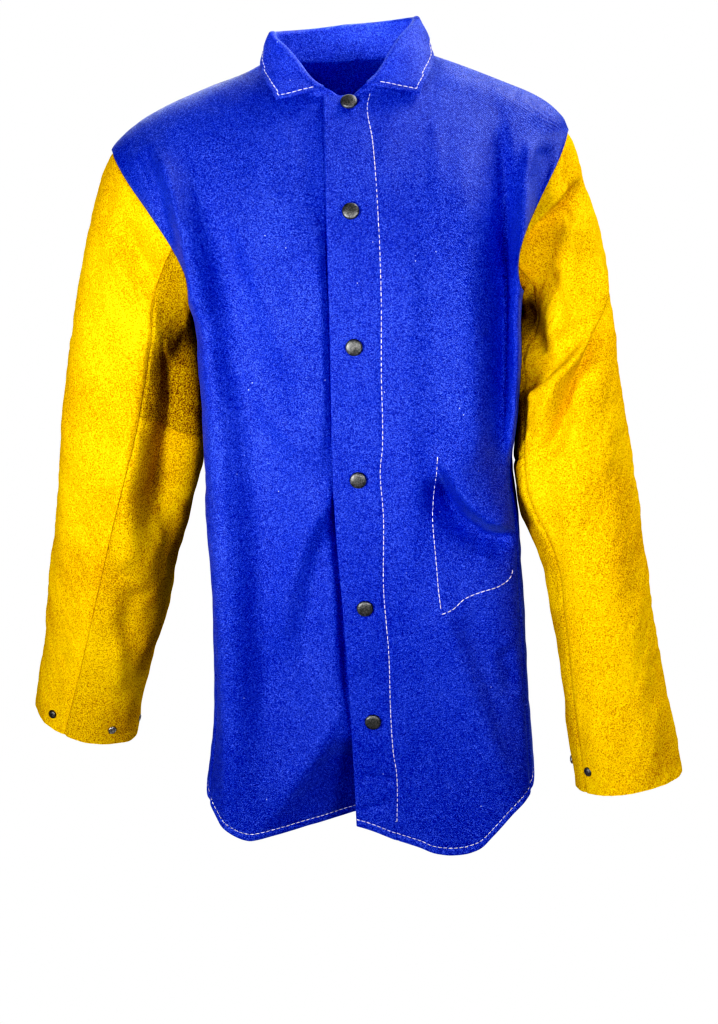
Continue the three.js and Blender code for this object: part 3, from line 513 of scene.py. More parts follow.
def ring_piece(name, rings):
    """Closed tubes as one object, from an array of tubes, rings along each tube and points round each
    ring, in mm."""
    count, along, around = rings.shape[:3]
    index = np.arange(count * along * around).reshape(count, along, around)
    beside = np.roll(index, -1, axis=2)
    sides = np.stack([index[:, :-1], beside[:, :-1], beside[:, 1:], index[:, 1:]], -1).reshape(-1, 4)
    caps = index[:, 0, ::-1].tolist() + index[:, -1].tolist()
    mesh = bpy.data.meshes.new(name)
    mesh.from_pydata((rings.reshape(-1, 3) * MM).tolist(), [], sides.tolist() + caps)
    mesh.polygons.foreach_set("use_smooth", np.ones(len(mesh.polygons), bool))
    return put(name, mesh)


def stitch_row(name, path, outward):
    """Thread along a path on the cloth: each stitch is a bead of six sides that swells in its middle
    and dives into the cloth at its ends, all of the same length and the same distance apart."""
    length = walked(path)
    count = int(length[-1] / STITCH_PITCH)
    share = np.linspace(0, 1, STITCH_RINGS)
    at = STITCH_PITCH * np.arange(count)[:, None] + STITCH_GAP / 2 + (STITCH_PITCH - STITCH_GAP) * share
    centre, out = [np.stack([np.interp(at, length, a[:, k]) for k in range(3)], -1)
                   for a in (path, outward)]
    out = unit(out)
    across = unit(np.cross(np.gradient(centre, axis=1), out))
    swell = np.sqrt(np.sin(np.pi * np.clip(share, *STITCH_TIPS)))[None, :, None, None]
    turn = 2 * np.pi * np.arange(STITCH_SIDES)[:, None] / STITCH_SIDES
    radius = THREAD_R * mix(STITCH_TAPER, 1, swell)
    lift = THREAD_R * (STITCH_RISE * swell - STITCH_DIVE)
    piece = ring_piece(name, centre[:, :, None] + out[:, :, None] * (lift + radius * np.cos(turn))
                       + across[:, :, None] * radius * np.sin(turn))
    piece.data.materials.append(PALE_THREAD)
    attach(piece, "root")
    return piece


BACK_HALF = 300                # width over the cloth from the middle to a side
BACK_ROWS, BACK_COLUMNS = (150, 44, 40), 70     # rows below the armpit, by the armhole and above it
BACK_FOLDS = [
    (11, 20, 24, [(-95, -170), (-100, -450), (-105, -790)]),
    (-9, 20, 20, [(-48, -230), (-50, -500), (-52, -790)]),
    (8, 22, 26, [(0, -300), (2, -560), (4, -790)]),
    (-9, 20, 20, [(50, -220), (52, -480), (56, -790)]),
    (11, 24, 20, [(98, -170), (104, -450), (108, -790)]),
    (4, 30, 12, [(-150, -92), (-60, -140), (0, -148), (60, -140), (150, -92)]),
    (-3, 9, 14, [(-120, -150), (-60, -172), (0, -178), (60, -172), (120, -150)]),
    (5, 10, 16, [(-150, -150), (-132, -240), (-128, -330)]),
    (5, 16, 10, [(150, -150), (132, -240), (128, -330)]),
]
BACK_FOLD_INSET = 40           # the folds die out this far from the seams
BACK_CREASES = [(1.1, 0.6, 70, 1, 30), (0.35, 1, 24, 2, 30)]
EDGE_COLUMNS = np.array([0, 0.5, 1.1, 1.8, 2.7, 3.8, 5.2, 7.0])     # distances from a panel's edge


def edge_shares(width, middle):
    """Columns' shares of the way across, close together by both edges of a panel of that width."""
    near = EDGE_COLUMNS / width
    return np.concatenate([near, np.linspace(near[-1], 1 - near[-1], middle)[1:-1], 1 - near[::-1]])


def angles_to_side(side, face, levels, shares, start):
    """Angles of a panel's columns from a start to its side: evenly to the plain side, and drawn in
    towards the armhole's edge by a power of the share."""
    end = side_angle(side, levels, face)[:, None]
    armhole = ((levels < TIP_Z) & (levels > PIT_Z))[:, None]
    plain = np.where(armhole, SIGN[side] * np.pi / 2, end)
    return mix(start, plain, shares) + (end - plain) * shares ** EDGE_BEND


def neckline(around, face):
    """Height of the neckline on the front or the back at an angle round from the middle of the front.
    Past the middle it is level."""
    turn = np.linspace(0, np.pi / 2, 80)
    z, x = -NECK_DROP[face] * np.cos(turn), NECK_HALF * np.sin(turn)
    at = angle_at_x(x, z, face)
    return np.interp(around, at, z) if face == "front" else np.interp(np.pi - around, np.pi - at, z)


def panel_grid(angle, around, face, hem, levels, shares):
    """A body panel's form, the distances over it and its outward directions. Its rows follow the hem low
    down, are level from the armpit up, and bend down to the neckline at the top. Around is the angle
    round from the middle of the front."""
    low = mix(curve_through(hem, np.degrees(around))[..., 0], PIT_Z, shares[:, None])
    z = np.where((shares < 1)[:, None], low, levels[:, None])
    z = z + neckline(around, face) * smooth(levels, -NECK_FADE[face], 0)[:, None]
    form = torso_point(angle, z)
    return form, *panel_lengths(form), torso_outward(angle, z)


back_levels, back_shares = panel_levels(*BACK_ROWS)
half_columns = edge_shares(BACK_HALF, BACK_COLUMNS)
back_angle = np.hstack([
    angles_to_side("left", "back", back_levels, half_columns[:0:-1], np.pi),
    angles_to_side("right", "back", back_levels, half_columns, -np.pi)])
back_form, back_u, back_v, back_out = panel_grid(back_angle, np.abs(back_angle), "back", BACK_HEM,
                                                 back_levels, back_shares)
back_x, back_z = back_form[..., 0], back_form[..., 2]
back_edge = np.minimum(back_u, back_u[:, -1:] - back_u)
back_u = back_u - back_u[:, len(half_columns) - 1, None]     # from the middle of the back
back_relief = (fold_field(back_x, back_z, BACK_FOLDS) * smooth(back_edge, 0, BACK_FOLD_INSET)
               + creases(back_x, back_z, back_edge, BACK_CREASES) + edge_relief(back_v, back_edge))
back_outer = back_form + back_out * back_relief[..., None]
back_panel = sheet_piece("back_cloth", back_outer, back_outer - back_out * COTTON,
                         np.stack([back_u, back_v], -1), False)
back_panel.data.materials.append(COTTON_CLOTH)
back_hem_row = np.argmin(np.abs(back_v[:, 0] - HEM_STITCH))
back_hem_thread = stitch_row("back_hem_thread", back_outer[back_hem_row], back_out[back_hem_row])
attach(back_panel, "root")
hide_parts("back_panel")

# Fronts
# Two cotton panels. The wearer's right front runs on beneath the left one, whose edge is folded to a
# doubled placket and stitched down 40 mm in. An inside pocket shows on the left front only by its
# stitching. Both hems are turned up and stitched.
PLACKET_EDGE, UNDERLAP_EDGE = 21, 22
PLACKET_BOW, BOW_Z, BOW_REACH = 5, -400, 120     # how much further its edge stands out near one height
PLACKET_CLOTH = 2.4
PLACKET_STAND, PLACKET_SINK, PLACKET_SINK_WIDTH, PLACKET_BLEND = 0.5, 0.9, 1.6, 2
PLACKET_THINNING = 1.7         # how fast the wall thins towards the folded edge
PUCKER, PUCKER_STRETCH, PUCKER_SIZE, PUCKER_SEED, PUCKER_WIDTH = 0.25, 0.5, 13, 31, 9
UNDERLAP_INSET, UNDERLAP_BLEND = 3.6, 34
FRONT_WIDTH = 240
FRONT_ROWS, FRONT_COLUMNS = (196, 60, 46), 94
FRONT_CREASES = [(0.35, 0.25, 40, 3, 20), (0.25, 1, 22, 5, 12)]
# Distances from the middle over which folds set in, and where the right front's valleys do, beneath the
# placket.
FOLDS_FROM, VALLEYS_FROM = (PLACKET_EDGE, PLACKET_EDGE + 7), (PLACKET_EDGE - 13, PLACKET_EDGE - 5)
FOLD_INSET = 6
HEM_COLUMN = 60                # a column well away from both edges
SNAPS = [(3, -43.5), (2, -140), (0, -263), (-2, -389), (-1.5, -516), (0.5, -636)]    # x and z
SNAP_DENT, SNAP_DENT_WIDTH = 0.9, 11
# Height of each front's hem at each angle out from the middle of the front, in degrees.
FRONT_HEM = {
    "right": np.array([
        (-20, -750), (0, -750), (14, -753), (21, -755), (28, -758), (35, -761), (38, -761), (46, -747),
        (49, -738), (56, -724), (90, -704)], float),
    "left": np.array([
        (-20, -742), (-7, -748), (6, -764), (14, -773), (19, -780), (27, -783), (33, -777), (37, -764),
        (43, -745), (56, -724), (90, -704)], float),
}
# Each fold: height, width to its left or below, width to its right or above, path of x and z.
FRONT_FOLDS = {
    "right": [
        (13, 8, 20, [(-188, -70), (-172, -90), (-161, -116), (-154, -152), (-149, -191), (-148, -250)]),
        (17, 10, 30, [(-152, -130), (-149, -230), (-148, -300), (-146, -380), (-144, -470), (-144, -560),
                      (-145, -640), (-148, -700), (-152, -780)]),
        (7, 20, 6, [(-177, -76), (-168, -98), (-161, -124), (-157, -156)]),
        (-8, 16, 26, [(-152, -70), (-138, -120), (-127, -180), (-117, -250), (-110, -330)]),
        (6, 8, 10, [(-206, -80), (-190, -100), (-177, -135)]),
        (-6, 7, 7, [(-194, -80), (-179, -115), (-166, -166)]),
        (-17, 22, 46, [(-122, -110), (-109, -198), (-103, -287), (-98, -377), (-96, -476), (-100, -596),
                       (-108, -700)]),
        (9, 32, 7, [(-29, -110), (-29, -219), (-32, -312), (-40, -394)]),
        (7, 15, 10, [(-22, -392), (-44, -426), (-60, -455), (-73, -495), (-87, -567)]),
        (-6, 11, 18, [(-22, -420), (-40, -466), (-54, -516), (-64, -588)]),
        (-9, 7, 12, [(-22, -380), (-22, -460), (-22, -540), (-22, -660)]),
        (4, 12, 12, [(-23, -596), (-30, -628), (-58, -667), (-97, -725)]),
        (2.6, 9, 9, [(-96, -46), (-63, -119), (-30, -205)]),
        (3.0, 10, 10, [(-128, -105), (-92, -179), (-58, -299)]),
        (-2.2, 8, 8, [(-54, -44), (-36, -93), (-26, -165)]),
        (3.0, 8, 8, [(-117, -246), (-83, -328), (-48, -371)]),
    ],
    "left": [
        (10, 7, 8, [(184, -84), (170, -95), (164, -118), (160, -161), (157, -200)]),
        (26, 9, 9, [(170, -120), (161, -150), (157, -190), (154, -240), (151, -290), (147, -345),
                    (144, -400)]),
        (-14, 15, 8, [(141, -50), (144, -124), (143, -226), (138, -328), (130, -395)]),
        (10, 24, 20, [(106, -76), (106, -161), (107, -222), (106, -333), (110, -395)]),
        (-6, 9, 9, [(188, -86), (182, -122), (173, -163)]),
        (6, 13, 22, [(49, -150), (49, -267), (48, -361), (45, -489)]),
        (1.5, 7, 9, [(80, -50), (82, -140), (78, -239)]),
        (3, 9, 14, [(80, -24), (117, -32), (148, -45), (196, -70)]),
        (-22, 16, 9, [(71, -386), (82, -418), (94, -435), (113, -451), (150, -464)]),
        (15, 8, 28, [(74, -358), (92, -401), (104, -418), (121, -433), (152, -446)]),
        (7, 24, 20, [(62, -490), (75, -533), (83, -564), (106, -636), (135, -725)]),
        (-5, 10, 20, [(86, -513), (106, -580), (125, -646), (145, -707)]),
        (-5, 9, 9, [(132, -562), (137, -622)]),
    ],
}
# The right front falls back below the last snap: the ends of the tuck's edge, its slope, how round its
# edge is, and the heights between which it sets in.
TUCK_FROM, TUCK_TO = (-24, -630), (-92, -720)
TUCK_SLOPE, TUCK_ROUND, TUCK_TOP, TUCK_FULL = 0.68, 6, -640, -680
PLACKET_FOLDS = [
    (-2.2, 4, 4, [(-19, -694), (3, -697), (24, -701)]),
    (-2.0, 4, 4, [(-19, -732), (-2, -728), (16, -724)]),
    (1.6, 9, 9, [(-20, -592), (-4, -559), (14, -526)]),
    (-1.2, 6, 6, [(-19, -300), (0, -318), (20, -322)]),
    (1.2, 8, 8, [(-18, -180), (0, -196), (19, -204)]),
]
PLACKET_STITCH = [(23, -36), (20, -48), (24, -78), (27, -151), (27, -212), (24, -290), (22, -359),
                  (19, -380), (20, -425), (17, -498), (19, -564), (18, -631), (19, -674), (21, -692),
                  (19, -750)]
POCKET_STITCH = [(73, -368), (71, -388), (68, -407), (66, -430), (67, -457), (68, -477), (69, -500),
                 (71, -524)]
POCKET_FOOT = [(71, -524), (82, -520), (93, -511), (110, -505), (128, -501), (138, -495), (141, -486)]
LEFT_THREADS = {"placket_thread": PLACKET_STITCH, "pocket_thread": POCKET_STITCH,
                "pocket_foot_thread": POCKET_FOOT}
THREAD_STEP = 2.0
AHEAD = np.array([0.0, -1.0, 0.0])     # the fronts' folds stand out straight ahead


def front_angles(side, levels, shares):
    """Angles of a front's columns, from its edge, which lies past the middle, to its side."""
    edge_z = levels - NECK_DROP["front"] * smooth(levels, -NECK_FADE["front"], 0)
    bow = PLACKET_BOW * bell(edge_z - BOW_Z, BOW_REACH)
    lap = PLACKET_EDGE + bow if side == "left" else UNDERLAP_EDGE
    start = angle_at_x(-SIGN[side] * lap, edge_z, "front")[:, None]
    return angles_to_side(side, "front", levels, shares, start)


def snap_dents(x, z):
    """The cloth pressed in round each snap: a bell about each."""
    away = [np.hypot(x - snap_x, z - snap_z) for snap_x, snap_z in SNAPS]
    return -SNAP_DENT * np.sum([bell(d, SNAP_DENT_WIDTH) for d in away], axis=0)


def tuck(x, z):
    """How far the right front falls back beside the placket's foot: a slope on one side of a slanting
    line, rounded along it, that sets in below the last snap."""
    run = np.subtract(TUCK_TO, TUCK_FROM) / np.hypot(*np.subtract(TUCK_TO, TUCK_FROM))
    away = (np.minimum(x, -PLACKET_EDGE) - TUCK_FROM[0]) * -run[1] + (z - TUCK_FROM[1]) * run[0]
    sloped = TUCK_SLOPE * (away + np.hypot(away, TUCK_ROUND)) / 2
    return sloped * (1 - smooth(z, TUCK_FULL, TUCK_TOP))


def placket(x, z, u, v):
    """The placket's relief and wall: doubled cloth stands out as far as the stitch line, which sinks in
    and puckers. Its front edge is folded, and the snaps and a few folds dent it."""
    line = curve_through(np.array([(b, a) for a, b in PLACKET_STITCH[::-1]], float), z)[..., 0]
    folded = turned_edge(u, PLACKET_CLOTH / 2)
    relief = PLACKET_STAND * (1 - smooth(x, line - PLACKET_BLEND, line))
    relief -= PLACKET_SINK * bell(x - line, PLACKET_SINK_WIDTH)
    relief += fold_field(x, z, PLACKET_FOLDS) + snap_dents(x, z) - folded
    puckers = PUCKER * crumple(u * PUCKER_STRETCH, v, PUCKER_SIZE, PUCKER_SEED)
    relief += puckers * bell(x - line, PUCKER_WIDTH)
    wall = mix(PLACKET_CLOTH, COTTON, smooth(x, line - PLACKET_BLEND, line + PLACKET_BLEND))
    return relief, wall - PLACKET_THINNING * folded


def on_cloth(outer, out, x, z):
    """Points of a front at given x and z: on the tangent plane of the nearest grid point."""
    flat, normal = outer.reshape(-1, 3), out.reshape(-1, 3)
    near = np.argmin((flat[:, 0] - x[:, None]) ** 2 + (flat[:, 2] - z[:, None]) ** 2, axis=1)
    p, n = flat[near], normal[near]
    y = p[:, 1] - ((x - p[:, 0]) * n[:, 0] + (z - p[:, 2]) * n[:, 2]) / n[:, 1]
    return np.stack([x, y, z], -1), n


def through(points):
    """Places a step apart along a smooth curve through the given points."""
    points = np.array(points, float)
    length = walked(points)
    return curve_through(np.column_stack([length, points]), np.arange(0, length[-1], THREAD_STEP))


def front_piece(side):
    """One front: its form with folds, crumples, edge and seam relief, as a closed sheet with thread."""
    levels, shares = panel_levels(*FRONT_ROWS)
    angle = front_angles(side, levels, edge_shares(FRONT_WIDTH, FRONT_COLUMNS))
    form, u, v, out = panel_grid(angle, SIGN[side] * angle, "front", FRONT_HEM[side], levels, shares)
    x, z = form[..., 0], form[..., 2]
    across = SIGN[side] * x
    seam = u[:, -1:] - u
    beside = smooth(across, *FOLDS_FROM)
    beneath = smooth(across, *VALLEYS_FROM) if side == "right" else beside
    ahead = fold_field(x, z, FRONT_FOLDS[side]) * smooth(seam, 0, FOLD_INSET)
    ahead *= np.where(ahead < 0, beneath, beside)
    relief = creases(across, z, seam, FRONT_CREASES, len(side)) * beside + edge_relief(v, seam)
    wall = np.full(x.shape, COTTON)
    if side == "left":
        doubled, wall = placket(x, z, u, v)
        relief += doubled
    else:
        free = PLACKET_EDGE + PLACKET_BOW
        relief -= UNDERLAP_INSET * (1 - smooth(across, free, free + UNDERLAP_BLEND))
        ahead -= tuck(x, z)
    outer = form + out * relief[..., None] + ahead[..., None] * AHEAD
    inner = outer - out * wall[..., None]
    piece = sheet_piece(f"{side}_front_cloth", outer, inner, np.stack([u, v], -1), side == "right")
    piece.data.materials.append(COTTON_CLOTH)
    hem_row = np.argmin(np.abs(v[:, HEM_COLUMN] - HEM_STITCH))
    threads = [stitch_row(f"{side}_hem_thread", outer[hem_row], out[hem_row])]
    for name, points in LEFT_THREADS.items() if side == "left" else ():
        path = through(points)
        threads.append(stitch_row(name, *on_cloth(outer, out, path[:, 0], path[:, 1])))
    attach(piece, "root")
    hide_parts(f"{side}_front")


for front_side in ("right", "left"):
    front_piece(front_side)

# Collar
# A turned collar of the same cotton, two layers pressed flat: a stand on the neckline, a fold, and a
# fall whose two leaves end in points. Pale stitches run close inside its edge.
COLLAR_CLOTH = 2.2
# Sections: turn from the middle of the back, lean of the stand, rise to the fold, the fall's edge out
# from the neckline and above it, and its sweep back along the neckline.
COLLAR = np.array([
    (0, -3, 29, 22, -14, 0), (60, -2, 25, 18, -8, 0), (90, -1, 22, 14, 0, 4), (120, -7, 24, 18, 5, 19),
    (150, -7, 12, 21, 3, 31), (165, -5, 7, 22, -2, 35), (177, -3, 3, 20, -6, 45),
], float)
COLLAR_HUG, COLLAR_FRONT_CUT, COLLAR_TILT = 3, 15, 0.06
COLLAR_TO_FRONT, COLLAR_ENDS = (80, 130), (130, 177)     # turns over which its front part and ends begin
COLLAR_SHORTER = 0.88          # sweep of the wearer's right leaf as a share of the left one's
COLLAR_TUCK_IN = 4.2           # the stand's foot is sewn inside the neckline
COLLAR_TUCK_DOWN = {"back": 1.8, "front": 7}
COLLAR_FOLD_R, COLLAR_LIFT, COLLAR_ROLL = 2.6, 2.6, 1.5
STAND_END, FOLD_END = 0.36, 0.56
COLLAR_WIDTH = 45
COLLAR_STITCH, COLLAR_SINK, COLLAR_SINK_WIDTH = 5.0, 0.7, 1.4
COLLAR_CREASE, COLLAR_CREASE_SIZE, COLLAR_CREASE_SEED = 0.5, 34, 11
COLLAR_THINNING = 0.85         # how fast the wall thins towards the pressed edge
STAND_APART = 40               # added to the distances on the stand, so that only the fall has edges
STITCH_COLUMN, STITCH_FROM = -8, 0.03     # where the fall's ends are measured, and where stitches start


def neck_point(turn, side):
    """A point of the neckline by its turn from the middle of the back, in degrees."""
    face = np.where(turn < 90, 0, 1)
    drop = np.where(face, NECK_DROP["front"], NECK_DROP["back"])
    z = -drop * np.abs(np.cos(np.radians(turn)))
    x = side * NECK_HALF * np.sin(np.radians(turn))
    angle = np.where(face, angle_at_x(x, z, "front"), angle_at_x(x, z, "back"))
    return torso_point(angle, z)


def collar_point(signed_turn, v):
    """The collar's middle surface: v runs from the stand's foot up a straight stand, over a half-round
    fold and down the fall, which rolls out a little and sweeps back towards its points."""
    side = np.where(signed_turn < 0, -1.0, 1.0)
    given = np.abs(signed_turn)
    lean, rise, reach, edge, sweep = np.moveaxis(curve_through(COLLAR, given), -1, 0)
    up = np.minimum(v / STAND_END, 1)
    ahead = smooth(given, *COLLAR_TO_FRONT)
    turn = given - COLLAR_FRONT_CUT * smooth(given, *COLLAR_ENDS) * up
    foot = neck_point(turn, side)
    a = np.radians(turn)
    rise = rise + COLLAR_TILT * foot[..., 0]
    arc = np.pi * np.clip((v - STAND_END) / (FOLD_END - STAND_END), 0, 1)
    t = np.clip((v - FOLD_END) / (1 - FOLD_END), 0, 1)
    hug = np.where(side < 0, COLLAR_HUG * np.sin(np.radians(given)) ** 4, 0)
    from_fold = lean + 2 * COLLAR_FOLD_R
    out = lean * up - COLLAR_TUCK_IN * ahead * (1 - up) + COLLAR_FOLD_R * (1 - np.cos(arc))
    tucked = mix(COLLAR_TUCK_DOWN["back"], COLLAR_TUCK_DOWN["front"], ahead)
    high = rise * up - tucked * (1 - up) ** 2 + COLLAR_FOLD_R * np.sin(arc)
    fall = v > FOLD_END
    out = np.where(fall, mix(from_fold, reach - hug, t) + COLLAR_ROLL * np.sin(np.pi * t), out)
    high = np.where(fall, mix(rise, edge, t), high)
    swept = np.where(fall, sweep * t * np.where(side < 0, COLLAR_SHORTER, 1), 0)
    x = foot[..., 0] + side * (np.sin(a) * out - np.cos(a) * swept)
    y = foot[..., 1] + np.cos(a) * out + np.sin(a) * swept
    return np.stack([x, y, foot[..., 2] + high + COLLAR_LIFT], -1)


collar_turns = np.concatenate([np.linspace(0, 90, 60), np.linspace(90, COLLAR_ENDS[1], 76)[1:]])
collar_turns = np.concatenate([-collar_turns[:0:-1], collar_turns])
collar_steps = np.concatenate([np.linspace(0, STAND_END, 16), np.linspace(STAND_END, FOLD_END, 18)[1:],
                               mix(FOLD_END, 1, edge_shares(COLLAR_WIDTH, 14))[1:]])
collar_turn, collar_v = np.meshgrid(collar_turns, collar_steps, indexing="ij")
collar_form = collar_point(collar_turn, collar_v)
collar_across, collar_along = cut_lengths(collar_form)
collar_out = outward_of(collar_form, True)
collar_ends = np.minimum(collar_along, collar_along[-1:] - collar_along)
collar_edge = np.minimum(collar_across[:, -1:] - collar_across,
                         collar_ends + STAND_APART * (collar_v < FOLD_END))
collar_crease = COLLAR_CREASE * crumple(collar_along, collar_across, COLLAR_CREASE_SIZE, COLLAR_CREASE_SEED)
collar_groove = COLLAR_SINK * bell(collar_edge - COLLAR_STITCH, COLLAR_SINK_WIDTH)
collar_relief = (collar_crease - collar_groove) * (collar_v > FOLD_END)
collar_half = COLLAR_CLOTH / 2 - COLLAR_THINNING * turned_edge(collar_edge, COLLAR_CLOTH / 2)
collar_middle = collar_form + collar_out * collar_relief[..., None]
collar_outer = collar_middle + collar_out * collar_half[..., None]
collar_inner = collar_middle - collar_out * collar_half[..., None]
collar = sheet_piece("collar_cloth", collar_outer, collar_inner,
                     np.stack([collar_across, collar_along], -1), True)
collar.data.materials.append(COTTON_CLOTH)


def collar_stitch_path():
    """The stitch line inside the fall's edge: out along one front end, round the edge, back along the
    other end."""
    column = np.argmin(np.abs(collar_across[:, -1:] - collar_across - COLLAR_STITCH), axis=1)
    end_line = collar_along[:, STITCH_COLUMN]
    start = np.argmin(np.abs(end_line - COLLAR_STITCH))
    end = np.argmin(np.abs(end_line[-1] - end_line - COLLAR_STITCH))
    first = np.argmin(np.abs(collar_v[0] - FOLD_END - STITCH_FROM))
    down, rows = np.arange(first, column[start]), np.arange(start, end + 1)
    up = np.arange(column[end] - 1, first, -1)
    i = np.concatenate([np.full(len(down), start), rows, np.full(len(up), end)])
    j = np.concatenate([down, column[rows], up])
    return collar_outer[i, j], collar_out[i, j]


collar_thread = stitch_row("collar_thread", *collar_stitch_path())
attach(collar, "root")
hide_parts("collar")

# Sleeves
# Golden split cowhide with a short nap, each sleeve in three pieces: an outer one from back seam to
# front seam, and an under sleeve that is pieced across near the elbow. The seams are sewn inside, so
# their edges turn in, and the leather breaks into a few deep folds at the elbow.
LEATHER = 1.8
# Sections from armhole to cuff: outer line's x and z, inner line's x and z, middle y, half depths.
SLEEVES = {
    "right": np.array([
        (246, -122, 158, -258, 14, 64, 66), (263, -180, 154, -296, 18, 64, 64),
        (279, -242, 154, -338, 25, 64, 62), (292, -304, 158, -378, 35, 64, 60),
        (304, -368, 170, -424, 48, 64, 58), (316, -440, 192, -484, 66, 61, 56),
        (330, -512, 210, -546, 86, 57, 54), (345, -590, 235, -620, 106, 53, 51),
        (363, -662, 258, -697, 124, 49, 48),
    ], float),
    "left": np.array([
        (221, -122, 158, -258, 8, 64, 66), (236, -178, 153, -296, -2, 66, 66),
        (244, -240, 147, -338, -18, 66, 66), (249, -304, 141, -378, -35, 64, 64),
        (256, -368, 142, -420, -44, 62, 62), (265, -440, 165, -476, -47, 59, 59),
        (273, -512, 179, -540, -49, 56, 56), (283, -594, 186, -616, -50, 53, 53),
        (301, -702, 197, -716, -50, 50, 50),
    ], float),
}
SECTIONS = 9
# Degrees round the sleeve of the front and back seams at the armhole and the cuff.
SLEEVE_SEAMS = {"right": ((103, 60), (255, 262)), "left": ((128, 150), (262, 285))}
ELBOW_SEAM = {"right": 3.6, "left": 4.35}     # section at which the under sleeve is pieced across
SLEEVE_START = 0.0
SEAM_OPEN = 0.5                # degrees between the pieces at a lengthwise seam
ELBOW_OPEN = SEAM_GAP / 60     # and sections between them at the cross seam
SEAM_BEND = {"right": 11, "left": 0}     # degrees that the front seam runs further in below the armhole
BEND_BELOW = 1.3               # section at which that bend is complete
SLEEVE_UNDERLAP = 1.5          # how far the leather runs in beneath the armhole's edge
BODY_CLEARANCE, BODY_RIDGE = 1.6, 16     # space beside the body, and how far its side folds stand ahead
CLEAR_ROUND, CLEAR_FULL, CLEAR_TOP = 2, PIT_Z - 30, PIT_Z + 5     # how softly and from where it is kept
SLEEVE_WIDTH, SLEEVE_LENGTH = 200, 300   # over the leather, for the spacing of columns and rows
SLEEVE_CREASES = [(1.2, 0.7, 60, 21, 24), (0.35, 1, 20, 22, 8)]
LEATHER_ROLL, LEATHER_ROLL_WIDTH = 1.5, 2.6     # how an edge turns in at a seam, and at the armhole
ARMHOLE_ROLL, ARMHOLE_ROLL_WIDTH = 1.6, 4
FOLDS_FACING, FOLDS_BELOW, CUFF_ROWS = 0.5, 0.4, 0.5     # where folds set in, and the seamless cuff's part
SLEEVE_FOLDS = {
    "right": [
        (-11, 9, 15, [(-222, -146), (-204, -183), (-190, -205)]),
        (5, 8, 8, [(-226, -170), (-214, -200), (-204, -222)]),
        (-4, 16, 16, [(-229, -205), (-243, -288), (-257, -368), (-280, -500)]),
        (6, 14, 14, [(-226, -370), (-235, -440), (-246, -500)]),
        (-8, 18, 20, [(-194, -350), (-198, -412), (-214, -480)]),
        (-26, 32, 12, [(-164, -250), (-168, -300), (-174, -350), (-182, -400), (-198, -470)]),
        (-6, 12, 12, [(-238, -515), (-252, -590)]),
        (4, 9, 9, [(-256, -560), (-268, -640)]),
    ],
    "left": [
        (-16, 14, 5, [(158, -184), (186, -158), (202, -145), (222, -126)]),
        (7, 5, 11, [(158, -168), (184, -146), (206, -130)]),
        (15, 16, 4, [(232, -196), (228, -235), (222, -252), (212, -274), (203, -290), (190, -306),
                     (178, -334), (166, -358)]),
        (-15, 4, 13, [(239, -206), (235, -236), (230, -252), (221, -274), (213, -291), (200, -305),
                      (190, -335), (179, -358), (160, -384)]),
        (-13, 11, 5, [(214, -262), (200, -279), (190, -290), (176, -303), (154, -325)]),
        (16, 16, 12, [(152, -250), (154, -275), (156, -300), (158, -330)]),
        (-7, 5, 9, [(160, -236), (166, -263), (172, -277), (177, -300)]),
        (-6, 10, 11, [(182, -200), (190, -235), (196, -268)]),
        (-4, 9, 12, [(172, -385), (175, -448), (183, -530)]),
    ],
}
# The nap's specks: position on the ramp, colour, and the power of the painted shade's share that dims it.
LEATHER_STOPS = [(0.36, (0.50, 0.22, 0.006), 2.5), (0.49, (0.88, 0.50, 0.016), 1),
                 (0.64, (0.98, 0.72, 0.030), 0.5)]


def armhole_point(side, angle):
    """The armhole's edge at an angle round the sleeve, moved in by the underlap, so that the leather
    starts beneath the cotton."""
    share = (1 - np.cos(angle)) / 2
    z = mix(TIP_Z, PIT_Z, share)
    ahead = np.sin(angle) >= 0
    turn = np.where(ahead, angle_at_x(armhole_x(side, share, "front"), z, "front"),
                    angle_at_x(armhole_x(side, share, "back"), z, "back"))
    point = torso_point(turn, z)
    point[..., 0] -= SIGN[side] * SLEEVE_UNDERLAP
    return point


def section_point(side, row, angle):
    """A point of one of the sleeve's sections: half an ellipse forward and half backward of the line
    from its inner to its outer point, leaning as the sleeve bends forward or back."""
    table = SLEEVES[side]
    out_x, out_z, in_x, in_z, y, front, back = np.moveaxis(table[row], -1, 0)
    before, after = table[np.maximum(row - 1, 0)], table[np.minimum(row + 1, SECTIONS - 1)]
    lean = (after[..., 4] - before[..., 4]) / (after[..., 1] - before[..., 1])
    forward = -np.where(np.sin(angle) >= 0, front, back) * np.sin(angle)
    outer = (1 + np.cos(angle)) / 2
    x = SIGN[side] * mix(in_x, out_x, outer)
    return np.stack([x, y + forward, mix(in_z, out_z, outer) - forward * lean], -1)


def clear_of_body(side, point):
    """The point, moved sideways where it would lie in the body below the armpit."""
    right, left, front, middle, back = np.moveaxis(curve_through(TORSO, point[..., 2]), -1, 0)
    depth = np.abs(np.where(point[..., 1] < middle, front, back) - middle)
    ridge = np.where(point[..., 1] < middle, BODY_RIDGE, 0)
    share = np.clip((np.abs(point[..., 1] - middle) - ridge) / depth, 0, 1)
    power = section_power(np.where(point[..., 1] < middle, 0, np.pi), point[..., 2])
    half = right if side == "right" else left
    reach = half * (1 - share ** power) ** (1 / power) + BODY_CLEARANCE
    x = SIGN[side] * point[..., 0]
    outside = (x + reach + np.hypot(x - reach, CLEAR_ROUND)) / 2
    moved = mix(outside, x, smooth(point[..., 2], CLEAR_FULL, CLEAR_TOP))
    return np.stack([SIGN[side] * moved, point[..., 1], point[..., 2]], -1)


